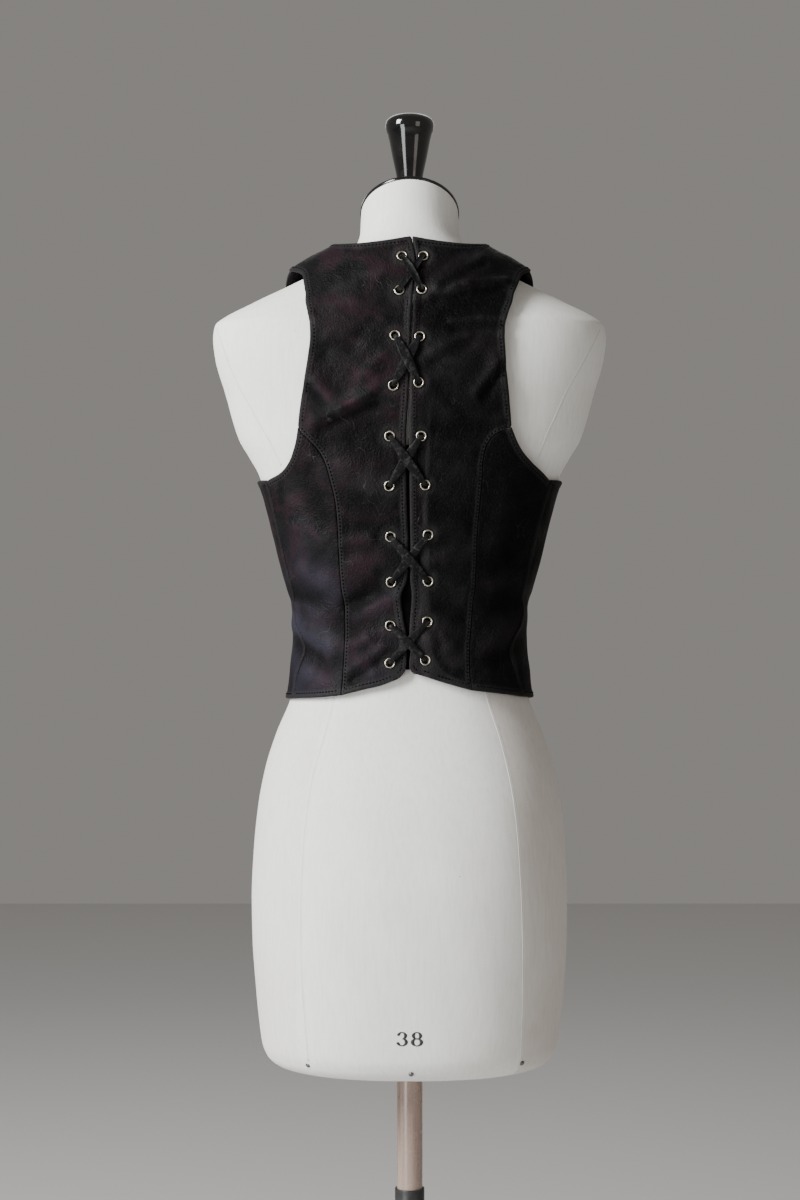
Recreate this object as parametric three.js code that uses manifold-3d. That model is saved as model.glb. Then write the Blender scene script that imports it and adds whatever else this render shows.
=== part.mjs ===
// A black leather vest that laces up its centre back, on a limbless dress form with a pole and a round foot.
// Millimetres. +Z is up, the laced back faces -Y, and the origin is on the floor at the axis of the pole.
// "left" is the side of negative x, which is the wearer's left.
import * as THREE from "three";
import { mergeVertices } from "three/addons/utils/BufferGeometryUtils.js";
import Module from "manifold-3d";

const wasm = await Module();
wasm.setup();

// Driving dimensions.
const leather = 1.6;          // thickness of a panel
const gap = 0.3;              // between pieces that meet
const neckLean = 0.53;        // rise of the neck's slanted top for each mm towards the back
const neckTop = 1487;         // height of that slanted top on the axis
const plateThickness = 3.5;
const poleRadius = 13.5;
const sleeveRadius = 15.5;
const sleeveTop = 467;
const poleFoot = 300;         // the pole's lower end, inside the sleeve
const poleHead = 655;         // its upper end, inside the form
const footRadius = 190;
const footHeight = 14;
const socketRadius = 34;
const socketHeight = 22;
const finialTop = 1594;
const eyelet = { outer: 5.5, bore: 3.2, barrel: 3.6, hole: 3.9, seat: 0.6, flange: 0.9, sides: 12 };
const thong = { width: 8, thickness: 1.3, pinchedWidth: 3.6, pinchedThickness: 1.8 };
const waist = { rows: 15, armholeRows: 14 };   // rows of a panel below and beside the armhole
const chest = { z: 1110, spans: 8 };           // height of the underarm row at centre front, and rows above it
const lacedSpans = 22;        // rows of the back beside the laced edge
const columns = { back: 8, sideBack: 4, front: 10 };
const lap = { thickness: 1.2, rows: 14, columns: 4 };
const laceSteps = 5;          // spans of the lace between two eyelets

const suede = new THREE.MeshStandardMaterial({ color: 0x17141a, roughness: 0.85, metalness: 0 });
const thongLeather = new THREE.MeshStandardMaterial({ color: 0x111013, roughness: 0.8, metalness: 0 });
const brass = new THREE.MeshStandardMaterial({ color: 0xb7a178, roughness: 0.35, metalness: 1 });
const cotton = new THREE.MeshStandardMaterial({ color: 0xd9d4c6, roughness: 0.9, metalness: 0 });
const blackLacquer = new THREE.MeshStandardMaterial({ color: 0x0b0b0c, roughness: 0.2, metalness: 0 });
const blackPaint = new THREE.MeshStandardMaterial({ color: 0x121212, roughness: 0.45, metalness: 0 });
const wood = new THREE.MeshStandardMaterial({ color: 0xc7a891, roughness: 0.4, metalness: 0 });
const steel = new THREE.MeshStandardMaterial({ color: 0xa8a8a8, roughness: 0.3, metalness: 1 });

// Turns rows of bare numbers into objects with the named columns.
function table(names, rows) {
  return rows.map((row) => Object.fromEntries(names.map((name, i) => [name, row[i]])));
}

// The form's horizontal rings: height, half width, depth to the back and to the front, squareness of the
// outline, and how much the ring rises towards the back.
const formRings = table(["z", "half", "back", "front", "square", "lean"], [
  [600, 131, 107, 79, 2.3, 0],
  [603, 141, 116, 88, 2.3, 0],
  [611, 150, 125, 97, 2.3, 0],
  [624, 155, 131, 101, 2.3, 0],
  [645, 158, 134, 103, 2.3, 0],
  [676, 161, 137, 105, 2.3, 0],
  [732, 164.5, 140, 108, 2.3, 0],
  [777, 165, 140, 109, 2.3, 0],
  [826, 163, 135, 108, 2.3, 0],
  [871, 158.5, 127, 104, 2.3, 0],
  [909, 151, 116, 99, 2.3, 0],
  [946, 139, 103, 94, 2.3, 0],
  [981, 125, 92, 90, 2.3, 0],
  [1020, 117, 84, 88, 2.3, 0],
  [1062, 114, 80, 87, 2.3, 0],
  [1100, 120, 82, 90, 2.3, 0],
  [1140, 134.4, 86, 97, 2.3, 0],
  [1180, 147.8, 91, 105, 2.3, 0],
  [1214, 157.6, 95, 110, 2.3, 0],
  [1233, 168, 96.5, 111, 2.3, 0],
  [1252, 179, 97, 111, 2.3, 0],
  [1302, 194, 97, 104, 2.3, 0],
  [1333, 203, 94, 94, 2.3, 0],
  [1358, 206, 89, 83, 2.3, 0],
  [1371, 204, 85, 77, 2.3, 0],
  [1380, 193, 81, 73, 2.3, 0],
  [1393, 167, 76, 69, 2.3, 0],
  [1406, 140, 71, 65, 2.25, 0],
  [1419, 112, 67, 62, 2.2, 0.04],
  [1430, 88, 63, 60, 2.15, 0.12],
  [1441, 68, 60, 58, 2.1, 0.24],
  [1452, 56, 57, 57, 2.05, 0.36],
  [1466, 52, 55.5, 56, 2, 0.46],
  [neckTop, 51, 55, 55, 2, neckLean],
]);

// The vest's outer rings, above and below its edges too, so that every edge can be found on them.
const vestRings = table(["z", "half", "back", "front", "square", "lean"], [
  [940, 144, 116, 108, 2.3, 0],
  [965, 136, 106, 102, 2.3, 0],
  [985, 129, 100, 98.5, 2.3, 0],
  [1010, 126, 94, 97, 2.3, 0],
  [1040, 123, 90, 96, 2.3, 0],
  [1065, 122.5, 88.5, 95.5, 2.3, 0],
  [1082, 124.5, 89, 96.5, 2.3, 0],
  [1095, 129, 90, 98.5, 2.3, 0],
  [1126, 137.5, 93, 104, 2.3, 0],
  [1158, 145.3, 97, 110, 2.3, 0],
  [1184, 152, 100, 115, 2.3, 0],
  [1214, 162, 103.5, 119.5, 2.3, 0],
  [1252, 184, 105.5, 120, 2.3, 0],
  [1302, 199, 105.5, 113, 2.3, 0],
  [1350, 211, 99, 100, 2.3, 0],
  [1370, 206, 95, 93, 2.3, 0],
  [1385, 193, 91, 88, 2.3, 0],
  [1400, 168, 86, 83, 2.3, 0],
  [1410, 150, 82.5, 80, 2.3, 0],
  [1422, 134, 77.5, 76.5, 2.3, 0],
  [1431, 124, 74, 74, 2.3, 0],
  [1440, 110, 71, 71.5, 2.3, 0],
  [1450, 90, 68.5, 69.5, 2.3, 0],
  [1458, 74, 67, 68, 2.3, 0],
  [1468, 60, 66, 67, 2.3, 0],
]);

// The bust: two soft mounds on the front, at "apart" either side of the centre.
const formBust = { rise: 20, apart: 78, across: 44, height: 1222, along: 50 };
const vestBust = { rise: 16, apart: 76, across: 52, height: 1222, along: 56 };

// Seams and edges of the back: height, then the distance from the centre on the left and on the right.
const princessSeam = table(["z", "left", "right"], [
  [985, 70, 63],
  [1011, 68, 60.5],
  [1038, 66.5, 60.5],
  [1065, 67, 63],
  [1092, 69.5, 65.5],
  [1147, 73, 68],
  [1183, 76, 71],
  [1209, 82, 73],
  [1226, 88, 74],
  [1240, 97.5, 77.5],
  [1251, 107.5, 86],
  [1259, 114, 103],
]);
const backArmhole = table(["z", "left", "right"], [
  [1259, 114, 103],
  [1278, 112, 101.5],
  [1305, 108, 99],
  [1332, 104, 97],
  [1354, 102, 96],
  [1374, 104, 99.5],
  [1395, 107, 106],
  [1410, 109.5, 112],
  [1420, 112.5, 117],
]);
const backUnderarm = table(["z", "left", "right"], [
  [1259, 114, 103],
  [1247, 116, 108],
  [1236, 119, 114],
  [1224, 124, 125],
  [1214, 133, 137],
]);
// The two laced edges, with x measured from the centre towards the right on both.
const lacedEdge = table(["z", "left", "right"], [
  [1029, -3, 0],
  [1050, -3.5, -0.8],
  [1069, -7, 0.2],
  [1088, -8.8, 1.6],
  [1104, -3, 0],
  [1137, -1.4, 0.2],
  [1180, -3, -0.4],
  [1244, -4, -1.2],
  [1292, -1.6, -0.6],
  [1342, 0.4, 1.2],
  [1376, 1.6, 2.4],
  [1405, 3.6, 4.4],
  [1434, 5.6, 6.4],
  [1456.5, 1.2, 3],
]);
// The lowest corner of each laced edge, which turns away from the other.
const lacedCorner = {
  left: table(["x", "z"], [[-13, 1004], [-8.5, 1007.5], [-4.6, 1013], [-3.4, 1020]]),
  right: table(["x", "z"], [[8, 1009], [3.2, 1010], [-0.2, 1013.5], [-1, 1020]]),
};
// The strip under the laced edges: height, then x of its two sides.
const underLap = table(["z", "left", "right"], [
  [1014, -8, 4.5],
  [1024, -9.5, 5],
  [1045, -12.5, 8],
  [1090, -13.5, 7.5],
  [1130, -9, 7],
  [1240, -8, 6],
]);
// The side seam: height, then the angle from the side towards the back, in degrees.
const sideSeam = table(["z", "left", "right"], [
  [1005, -25, -33],
  [1030, -31, -36],
  [1047, -27, -32],
  [1062, -19, -25],
  [1076, -16, -22],
  [1095, -21, -27],
  [1130, -22, -29],
]);
const sideTop = { z: 1207, left: -24, right: -27 };
const sideFoot = { left: { angle: -23, z: 982.5 }, right: { angle: -29, z: 985 } };
// The hem of the back: distance from the centre and height.
const backHem = {
  left: table(["x", "z"], [[13, 1004], [30, 997.5], [45, 994], [70, 987.5]]),
  right: table(["x", "z"], [[8, 1009], [27, 1003], [45, 997.5], [63, 992.5]]),
};
const sideBackHem = {
  left: table(["x", "z"], [[70, 987.5], [91, 985]]),
  right: table(["x", "z"], [[63, 992.5], [90, 989]]),
};
// Edges by angle: 0 is at the side, -90 at the centre back and 90 at the centre front.
const shoulder = { neck: 1458, arm: 1430 };
const frontHem = table(["angle", "z"], [[90, 970], [60, 974], [25, 979]]);
const backNeckline = table(["angle", "z"], [[-77, 1453], [-57, 1450.5], [-30, 1452.5], [0, shoulder.neck]]);
// Front edges: distance from the centre and height.
const frontNeckline = table(["x", "z"], [[0, 1318], [24, 1323], [43, 1340], [57, 1372], [65, 1408], [70, 1438]]);
const frontArmhole = table(["x", "z"], [
  [149, 1212], [136, 1224], [127, 1245], [122, 1280], [122, 1330], [126, 1375], [131, 1405], [132, 1417],
]);

// The largest folds: two ends, half the width, and the height of the ridge or, if negative, of the trough.
const folds = table(["x1", "z1", "x2", "z2", "width", "height"], [
  [-35, 1292, -92, 1268, 15, 2.2],
  [-40, 1262, -88, 1240, 13, -1.6],
  [-98, 1345, -70, 1296, 13, -1.8],
  [34, 1392, 76, 1432, 14, 2],
  [38, 1368, 92, 1386, 13, -1.6],
  [36, 1330, 84, 1352, 16, 1.8],
  [-42, 1094, -66, 1058, 13, -1.8],
  [34, 1046, 48, 1022, 15, 2],
  [-120, 1060, -84, 1036, 12, 2],
  [114, 1066, 84, 1040, 12, 2],
  [-128, 1092, -96, 1082, 11, -1.6],
  [122, 1088, 92, 1080, 11, -1.6],
]);

// The rows of eyelets: height, and x on the left and on the right.
const eyeletRows = table(["zLeft", "left", "zRight", "right"], [
  [1435, -8.2, 1435, 13.6],
  [1398, -10.9, 1399, 11.8],
  [1351, -15.2, 1350, 9.8],
  [1300, -16.9, 1303, 8.6],
  [1249, -20.6, 1249, 11.2],
  [1199, -21, 1200, 15.2],
  [1148, -19.9, 1150, 18.1],
  [1102, -19.2, 1103, 18.2],
  [1058, -20, 1062, 17.5],
  [1020, -20.4, 1023, 15.4],
]);

const degrees = Math.PI / 180;
const group = new THREE.Group();

function add(name, geometry, material) {
  const mesh = new THREE.Mesh(geometry, material);
  mesh.name = name;
  group.add(mesh);
  return mesh;
}

// A column of a table at height z, on a smooth curve that never swings past its points.
function smooth(rows, name, z) {
  let i = 0;
  while (i < rows.length - 2 && z > rows[i + 1].z) i++;
  const slope = (k) => (rows[k + 1][name] - rows[k][name]) / (rows[k + 1].z - rows[k].z);
  const tangent = (k) => {
    if (k === 0) return slope(0);
    if (k === rows.length - 1) return slope(k - 1);
    const before = slope(k - 1);
    const after = slope(k);
    return before * after <= 0 ? 0 : (2 * before * after) / (before + after);
  };
  const length = rows[i + 1].z - rows[i].z;
  const t = (z - rows[i].z) / length;
  const a = rows[i][name];
  const b = rows[i + 1][name];
  return a * (1 + 2 * t) * (1 - t) ** 2 + b * t * t * (3 - 2 * t)
    + length * t * (1 - t) * ((1 - t) * tangent(i) - t * tangent(i + 1));
}

// The point of a ring stack at an angle (degrees, from the side) and a height. side is -1 or 1.
function onRings(rings, bust, side, angle, z) {
  const half = smooth(rings, "half", z);
  const power = 2 / smooth(rings, "square", z);
  const c = Math.cos(angle * degrees);
  const s = Math.sin(angle * degrees);
  const depth = smooth(rings, s < 0 ? "back" : "front", z);
  const x = side * half * Math.sign(c) * Math.abs(c) ** power;
  let y = depth * Math.sign(s) * Math.abs(s) ** power;
  if (s > 0) {
    const across = (Math.abs(x) - bust.apart) / bust.across;
    const along = (z - bust.height) / bust.along;
    y += bust.rise * s * Math.exp(-across * across - along * along);
  }
  return new THREE.Vector3(x, y, z - smooth(rings, "lean", z) * y);
}

// The angle on the vest's back at a distance x from the centre. Past the centre x is negative.
function backAngle(x, z) {
  const share = Math.min(1, Math.abs(x) / smooth(vestRings, "half", z));
  const c = Math.sign(x) * share ** (smooth(vestRings, "square", z) / 2);
  return -Math.acos(c) / degrees;
}

// How far the folds lift the leather at a point of the back.
function foldHeight(point) {
  if (point.y > 0) return 0;
  let height = 0;
  for (const fold of folds) {
    const dx = fold.x2 - fold.x1;
    const dz = fold.z2 - fold.z1;
    const run = ((point.x - fold.x1) * dx + (point.z - fold.z1) * dz) / (dx * dx + dz * dz);
    const t = Math.min(1, Math.max(0, run));
    const off = Math.hypot(point.x - fold.x1 - t * dx, point.z - fold.z1 - t * dz) / fold.width;
    height += fold.height * Math.exp(-off * off);
  }
  return height;
}

// The leather's outer face at an angle and height, folds included, with the direction straight out of it.
function onVest(side, angle, z) {
  const at = (a, h) => onRings(vestRings, vestBust, side, a, h);
  const around = at(angle + 0.4, z).sub(at(angle - 0.4, z));
  const upward = at(angle, z + 0.4).sub(at(angle, z - 0.4));
  const normal = around.cross(upward).normalize().multiplyScalar(side);
  const point = at(angle, z);
  point.addScaledVector(normal, foldHeight(point));
  return { point, normal };
}

// A smooth edge through points { angle, z }, cut into equal spans.
function edge(points, spans) {
  const stretch = 2;   // mm for a degree, so that spans are even on the body
  const curve = new THREE.CatmullRomCurve3(
    points.map((p) => new THREE.Vector3(p.angle * stretch, p.z, 0)), false, "centripetal",
  );
  return curve.getSpacedPoints(spans).map((p) => ({ angle: p.x / stretch, z: p.y }));
}

// Fills the net between four edges: lower and upper run from inner to outer, which run upwards.
function net(lower, upper, inner, outer) {
  const across = lower.length - 1;
  const along = inner.length - 1;
  const mix = (a, b, t, name) => a[name] * (1 - t) + b[name] * t;
  return inner.map((_, j) => lower.map((__, i) => {
    const u = i / across;
    const v = j / along;
    const blend = (name) => mix(inner[j], outer[j], u, name) + mix(lower[i], upper[i], v, name)
      - (1 - v) * mix(lower[0], lower[across], u, name) - v * mix(upper[0], upper[across], u, name);
    return { angle: blend("angle"), z: blend("z") };
  }));
}

// A closed body from its corner points and triangles, turned so that its faces point out.
function body(points, triangles) {
  let volume = 0;
  for (const [a, b, c] of triangles) {
    volume += points[a].dot(points[b].clone().cross(points[c]));
  }
  const turned = volume < 0 ? triangles.map(([a, b, c]) => [a, c, b]) : triangles;
  const geometry = new THREE.BufferGeometry().setFromPoints(points);
  geometry.setIndex(turned.flat());
  return geometry;
}

// A wall of leather: its outer face on the net's points, its inner face one thickness further in.
// Each edge is drawn in by half a gap, so that panels meet with a gap between them.
function panelGeometry(side, grid) {
  const rows = grid.length;
  const cols = grid[0].length;
  const faces = grid.map((row) => row.map((p) => onVest(side, p.angle, p.z)));
  const drawIn = (j, i, dj, di) => {
    const here = faces[j][i].point;
    const inward = faces[j + dj][i + di].point.clone().sub(here);
    const before = faces[Math.max(0, j - di * di)][Math.max(0, i - dj * dj)].point;
    const after = faces[Math.min(rows - 1, j + di * di)][Math.min(cols - 1, i + dj * dj)].point;
    const tangent = after.clone().sub(before).normalize();
    return inward.addScaledVector(tangent, -inward.dot(tangent)).normalize().multiplyScalar(gap / 2);
  };
  const moved = faces.map((row, j) => row.map(({ point }, i) => {
    const place = point.clone();
    if (i === 0) place.add(drawIn(j, i, 0, 1));
    if (i === cols - 1) place.add(drawIn(j, i, 0, -1));
    if (j === 0) place.add(drawIn(j, i, 1, 0));
    if (j === rows - 1) place.add(drawIn(j, i, -1, 0));
    return place;
  }));
  const inward = (p, face) => p.clone().addScaledVector(face.normal, -leather);
  const inner = moved.map((row, j) => row.map((p, i) => inward(p, faces[j][i])));
  return wall(moved, inner);
}

// Closes two nets of points, an outer and an inner one, into one wall.
function wall(outer, inner) {
  const rows = outer.length;
  const cols = outer[0].length;
  const at = (j, i) => j * cols + i;
  const back = rows * cols;
  const triangles = [];
  for (let j = 0; j < rows - 1; j++) {
    for (let i = 0; i < cols - 1; i++) {
      const [a, b, c, d] = [at(j, i), at(j, i + 1), at(j + 1, i + 1), at(j + 1, i)];
      triangles.push([a, b, c], [a, c, d], [back + a, back + c, back + b], [back + a, back + d, back + c]);
    }
  }
  const rim = [];
  for (let i = 0; i < cols - 1; i++) rim.push(at(0, i));
  for (let j = 0; j < rows - 1; j++) rim.push(at(j, cols - 1));
  for (let i = cols - 1; i > 0; i--) rim.push(at(rows - 1, i));
  for (let j = rows - 1; j > 0; j--) rim.push(at(j, 0));
  rim.forEach((a, k) => {
    const b = rim[(k + 1) % rim.length];
    triangles.push([a, back + a, back + b], [a, back + b, b]);
  });
  return body([...outer.flat(), ...inner.flat()], triangles);
}

function solidOf(geometry) {
  const bare = geometry.clone();
  bare.deleteAttribute("normal");
  bare.deleteAttribute("uv");
  const merged = mergeVertices(bare, 1e-3);
  return new wasm.Manifold(new wasm.Mesh({
    numProp: 3,
    vertProperties: new Float32Array(merged.attributes.position.array),
    triVerts: new Uint32Array(merged.index.array),
  }));
}

function geometryOf(solid) {
  const mesh = solid.getMesh();
  const geometry = new THREE.BufferGeometry();
  geometry.setAttribute("position", new THREE.BufferAttribute(mesh.vertProperties, 3));
  geometry.setIndex(new THREE.BufferAttribute(mesh.triVerts, 1));
  return geometry;
}

// Places a shape made along +Y so that +Y points along the direction and its origin is at the point.
function stand(object, point, direction) {
  object.position.copy(point);
  object.quaternion.setFromUnitVectors(new THREE.Vector3(0, 1, 0), direction);
  object.updateMatrix();
  return object;
}

// ---- Eyelets: where each one sits on the leather ----

function eyeletPlace(side, row) {
  const name = side < 0 ? "left" : "right";
  const z = row[side < 0 ? "zLeft" : "zRight"];
  return onVest(side, backAngle(side * row[name], z), z);
}
const eyeletPlaces = { left: [], right: [] };
for (const row of eyeletRows) {
  eyeletPlaces.left.push(eyeletPlace(-1, row));
  eyeletPlaces.right.push(eyeletPlace(1, row));
}

// ---- Leather panels ----

function backPoints(rows, side) {
  const name = side < 0 ? "left" : "right";
  return rows.map((row) => ({ angle: backAngle(row[name], row.z), z: row.z }));
}

function withHoles(geometry, places) {
  let solid = solidOf(geometry);
  for (const { point, normal } of places) {
    const drill = new THREE.Mesh(new THREE.CylinderGeometry(eyelet.hole, eyelet.hole, 9, eyelet.sides));
    stand(drill, point, normal);
    solid = solid.subtract(solidOf(drill.geometry.applyMatrix4(drill.matrix)));
  }
  return geometryOf(solid);
}

for (const [side, name] of [[-1, "left"], [1, "right"]]) {
  const onBack = (p) => ({ angle: backAngle(p.x, p.z), z: p.z });
  const onFront = (p) => ({ angle: -backAngle(p.x, p.z), z: p.z });
  const foot = sideFoot[name];
  const underSide = { angle: sideTop[name], z: sideTop.z };
  const shoulderTip = { angle: 0, z: shoulder.arm };
  const shoulderNeck = { angle: 0, z: shoulder.neck };
  const princessRows = princessSeam.map((row, k) => (k ? row : { ...row, z: backHem[name].at(-1).z }));
  const princess = edge(backPoints(princessRows, side), waist.rows);
  const sideEdge = edge([
    foot, ...sideSeam.map((row) => ({ angle: row[name], z: row.z })), underSide,
  ], waist.rows);
  const armhole = edge([...backPoints(backArmhole, side), shoulderTip], waist.armholeRows);

  const laced = [
    ...lacedCorner[name].map((p) => onBack({ x: side * p.x, z: p.z })),
    ...lacedEdge.map((row) => onBack({ x: side * row[name], z: row.z })),
  ];
  const necklineSpans = waist.rows + waist.armholeRows - lacedSpans;
  const backInner = [
    ...edge(laced, lacedSpans),
    ...edge([laced.at(-1), ...backNeckline], necklineSpans).slice(1),
  ];
  const backNet = net(
    edge(backHem[name].map(onBack), columns.back),
    edge([shoulderNeck, shoulderTip], columns.back),
    backInner,
    [...princess, ...armhole.slice(1)],
  );
  add("back_" + name, withHoles(panelGeometry(side, backNet), eyeletPlaces[name]), suede);

  const sideBackNet = net(
    edge([...sideBackHem[name].map(onBack), foot], columns.sideBack),
    edge([...backPoints(backUnderarm, side), underSide], columns.sideBack),
    princess,
    sideEdge,
  );
  add("side_back_" + name, panelGeometry(side, sideBackNet), suede);

  // The centre front reaches the underarm's level at the same row, so that no row crosses the armhole.
  const underarmFront = { angle: 90, z: chest.z };
  const frontInner = [
    ...edge([frontHem[0], underarmFront], waist.rows),
    ...edge([underarmFront, onFront(frontNeckline[0])], chest.spans).slice(1),
    ...edge([...frontNeckline.map(onFront), shoulderNeck], waist.armholeRows - chest.spans).slice(1),
  ];
  const frontEdge = frontArmhole.map(onFront);
  const frontOuter = [...sideEdge, ...edge([underSide, ...frontEdge, shoulderTip], waist.armholeRows).slice(1)];
  const frontNet = net(
    edge([...frontHem, foot], columns.front),
    edge([shoulderNeck, shoulderTip], columns.front),
    frontInner,
    frontOuter,
  );
  add("front_" + name, panelGeometry(side, frontNet), suede);
}

// ---- Under lap: a strip behind the laced edges, sewn to the right one, that fills the gap between them ----

const lapFaces = Array.from({ length: lap.rows + 1 }, (_, j) => {
  const z = underLap[0].z + (j / lap.rows) * (underLap.at(-1).z - underLap[0].z);
  return Array.from({ length: lap.columns + 1 }, (__, i) => {
    const t = i / lap.columns;
    const x = smooth(underLap, "left", z) * (1 - t) + smooth(underLap, "right", z) * t;
    return onVest(x < 0 ? -1 : 1, backAngle(Math.abs(x), z), z);
  });
});
const lapAt = (depth) => lapFaces.map((row) => (
  row.map(({ point, normal }) => point.clone().addScaledVector(normal, -depth))
));
const lapTop = leather + 2 * gap;
add("under_lap", wall(lapAt(lapTop), lapAt(lapTop + lap.thickness)), suede);

// ---- Brass eyelets ----

// A rolled flange on the outside and a barrel through the leather.
const eyeletProfile = [
  [eyelet.bore, -leather - 0.4],
  [eyelet.barrel, -leather - 0.4],
  [eyelet.barrel, eyelet.seat],
  [eyelet.outer, eyelet.seat],
  [(eyelet.outer + eyelet.barrel) / 2, eyelet.seat + eyelet.flange],
  [eyelet.bore, eyelet.seat + eyelet.flange * 0.7],
  [eyelet.bore, -leather - 0.4],
].map(([r, h]) => new THREE.Vector2(r, h));
for (const name of ["left", "right"]) {
  eyeletPlaces[name].forEach(({ point, normal }, k) => {
    const ring = add(
      "eyelet_" + name + "_" + (k + 1),
      new THREE.LatheGeometry(eyeletProfile, eyelet.sides),
      brass,
    );
    stand(ring, point, normal);
  });
}

// ---- Lace: one flat thong ----

// Each station is { place, across, out, width, thickness }; the section is flat with thin edges.
function thongGeometry(stations) {
  const corners = [[-0.5, 0], [-0.28, 0.5], [0.28, 0.5], [0.5, 0], [0.28, -0.5], [-0.28, -0.5]];
  const sides = corners.length;
  const points = stations.flatMap((s) => corners.map(([a, b]) => (
    s.place.clone().addScaledVector(s.across, a * s.width).addScaledVector(s.out, b * s.thickness)
  )));
  const triangles = [];
  for (let k = 0; k < stations.length - 1; k++) {
    for (let i = 0; i < sides; i++) {
      const a = k * sides + i;
      const b = k * sides + (i + 1) % sides;
      triangles.push([a, b, b + sides], [a, b + sides, a + sides]);
    }
  }
  const last = points.length - sides;
  for (let i = 1; i < sides - 1; i++) {
    triangles.push([0, i + 1, i], [last, last + i, last + i + 1]);
  }
  return body(points, triangles);
}

// The lace's way: over the outside from one eyelet to the next row on the other side, then down inside.
const outsideHeight = eyelet.seat + eyelet.flange + gap + thong.pinchedThickness / 2;
const insideHeight = -leather - 4 * gap - thong.pinchedThickness / 2;
const freeEnd = 14;        // how far each end hangs below the last eyelets, inside
const bend = 1.6;          // how far from an eyelet's centre the thong starts to turn into it
const overLift = 2.4;        // how far the upper thong of a cross rises over the lower one

// Stations from inside to outside through an eyelet, or the other way, heading along the direction.
function through(place, outsideDirection, insideDirection) {
  const { point, normal } = place;
  const flat = (direction) => direction.clone().projectOnPlane(normal).normalize();
  const outWay = flat(outsideDirection);
  const inWay = flat(insideDirection);
  const pinched = { width: thong.pinchedWidth, thickness: thong.pinchedThickness };
  const outAcross = normal.clone().cross(outWay);
  let inAcross = normal.clone().cross(inWay).negate();
  if (inAcross.dot(outAcross) < 0) inAcross = inAcross.negate();
  const middle = outAcross.clone().add(inAcross).normalize();
  const at = (way, along, height, across) => ({
    place: point.clone().addScaledVector(way, along).addScaledVector(normal, height),
    across,
    ...pinched,
  });
  const deep = (station, out) => ({ ...station, out });
  return [
    deep(at(outWay, bend, outsideHeight, outAcross), normal),
    deep(at(outWay, 0.4, outsideHeight - 0.9, outAcross), normal.clone().addScaledVector(outWay, -1).normalize()),
    deep(at(outWay, 0, -0.6, middle), middle.clone().cross(normal).normalize()),
    deep(at(inWay, 0.4, insideHeight + 0.9, inAcross), normal.clone().addScaledVector(inWay, 1).normalize()),
    deep(at(inWay, bend, insideHeight, inAcross), normal),
  ];
}

// Where the lace lies between two eyelets: on the ring surface between them, at a height above it.
function between(a, b, t, height) {
  const x = a.point.x * (1 - t) + b.point.x * t;
  const z = a.point.z * (1 - t) + b.point.z * t;
  const side = x < 0 ? -1 : 1;
  const { point, normal } = onVest(side, backAngle(Math.abs(x), z), z);
  return { place: point.addScaledVector(normal, height), out: normal };
}

function stretch(a, b, height, lift, widest) {
  const stations = [];
  for (let k = 1; k < laceSteps; k++) {
    const t = k / laceSteps;
    const swell = Math.sin(Math.PI * t);
    const spot = between(a, b, t, height + lift * swell ** 1.5);
    const along = b.point.clone().sub(a.point).projectOnPlane(spot.out).normalize();
    stations.push({
      ...spot,
      across: spot.out.clone().cross(along),
      width: thong.pinchedWidth + (widest - thong.pinchedWidth) * swell,
      thickness: thong.pinchedThickness + (thong.thickness - thong.pinchedThickness) * swell,
    });
  }
  return stations;
}

// Turns each section so that it faces along the lace and isn't flipped over from one station to the next.
function untwisted(stations) {
  const result = [];
  stations.forEach((station, k) => {
    const ahead = stations[Math.min(k + 1, stations.length - 1)].place;
    const travel = ahead.clone().sub(stations[Math.max(k - 1, 0)].place);
    const next = { ...station, across: station.across.clone(), out: station.out.clone() };
    if (next.across.clone().cross(next.out).dot(travel) < 0) next.across.negate();
    if (k && next.across.dot(result[k - 1].across) < 0) {
      next.across.negate();
      next.out.negate();
    }
    result.push(next);
  });
  return result;
}

// One half of the lace, from row 1 down, starting at the named side.
function half(startSide, lift) {
  const down = new THREE.Vector3(0, 0, -1);
  const other = { left: "right", right: "left" };
  let name = startSide;
  const stations = [];
  for (let row = 0; row < eyeletRows.length; row += 2) {
    const from = eyeletPlaces[name][row];
    const to = eyeletPlaces[other[name]][row + 1];
    const away = to.point.clone().sub(from.point);
    const arriving = row === 0 ? new THREE.Vector3(name === "left" ? 1 : -1, 0, 0) : down.clone().negate();
    const leaving = down;
    const rising = through(from, away, arriving).reverse();
    const sinking = through(to, away.clone().negate(), leaving);
    stations.push(...rising, ...stretch(from, to, outsideHeight, lift[name], thong.width), ...sinking);
    name = other[name];
    if (row + 2 < eyeletRows.length) {
      stations.push(...stretch(to, eyeletPlaces[name][row + 2], insideHeight, 0, thong.pinchedWidth));
    }
  }
  const last = eyeletPlaces[name].at(-1);
  const end = { ...last, point: last.point.clone().addScaledVector(down, freeEnd) };
  stations.push(...stretch(last, end, insideHeight, 0, thong.pinchedWidth));
  return stations;
}

const lift = { left: overLift, right: 0 };
const leftHalf = half("left", lift);
const rightHalf = half("right", lift);
const bridge = stretch(
  eyeletPlaces.left[0], eyeletPlaces.right[0], insideHeight, 0, thong.pinchedWidth,
);
const lace = untwisted([...leftHalf.reverse(), ...bridge, ...rightHalf]);
add("lace", thongGeometry(lace), thongLeather);

// ---- Dress form ----

const noBust = { rise: 0, apart: 0, across: 1, height: 0, along: 1 };
const torsoSides = 32;

function formRing(z) {
  const ring = [];
  for (let k = 0; k < torsoSides; k++) {
    const turn = (k / torsoSides) * 360;
    const side = turn < 180 ? 1 : -1;
    const angle = side > 0 ? turn - 90 : 270 - turn;
    ring.push(onRings(formRings, formBust, side, angle, z));
  }
  return ring;
}

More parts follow.
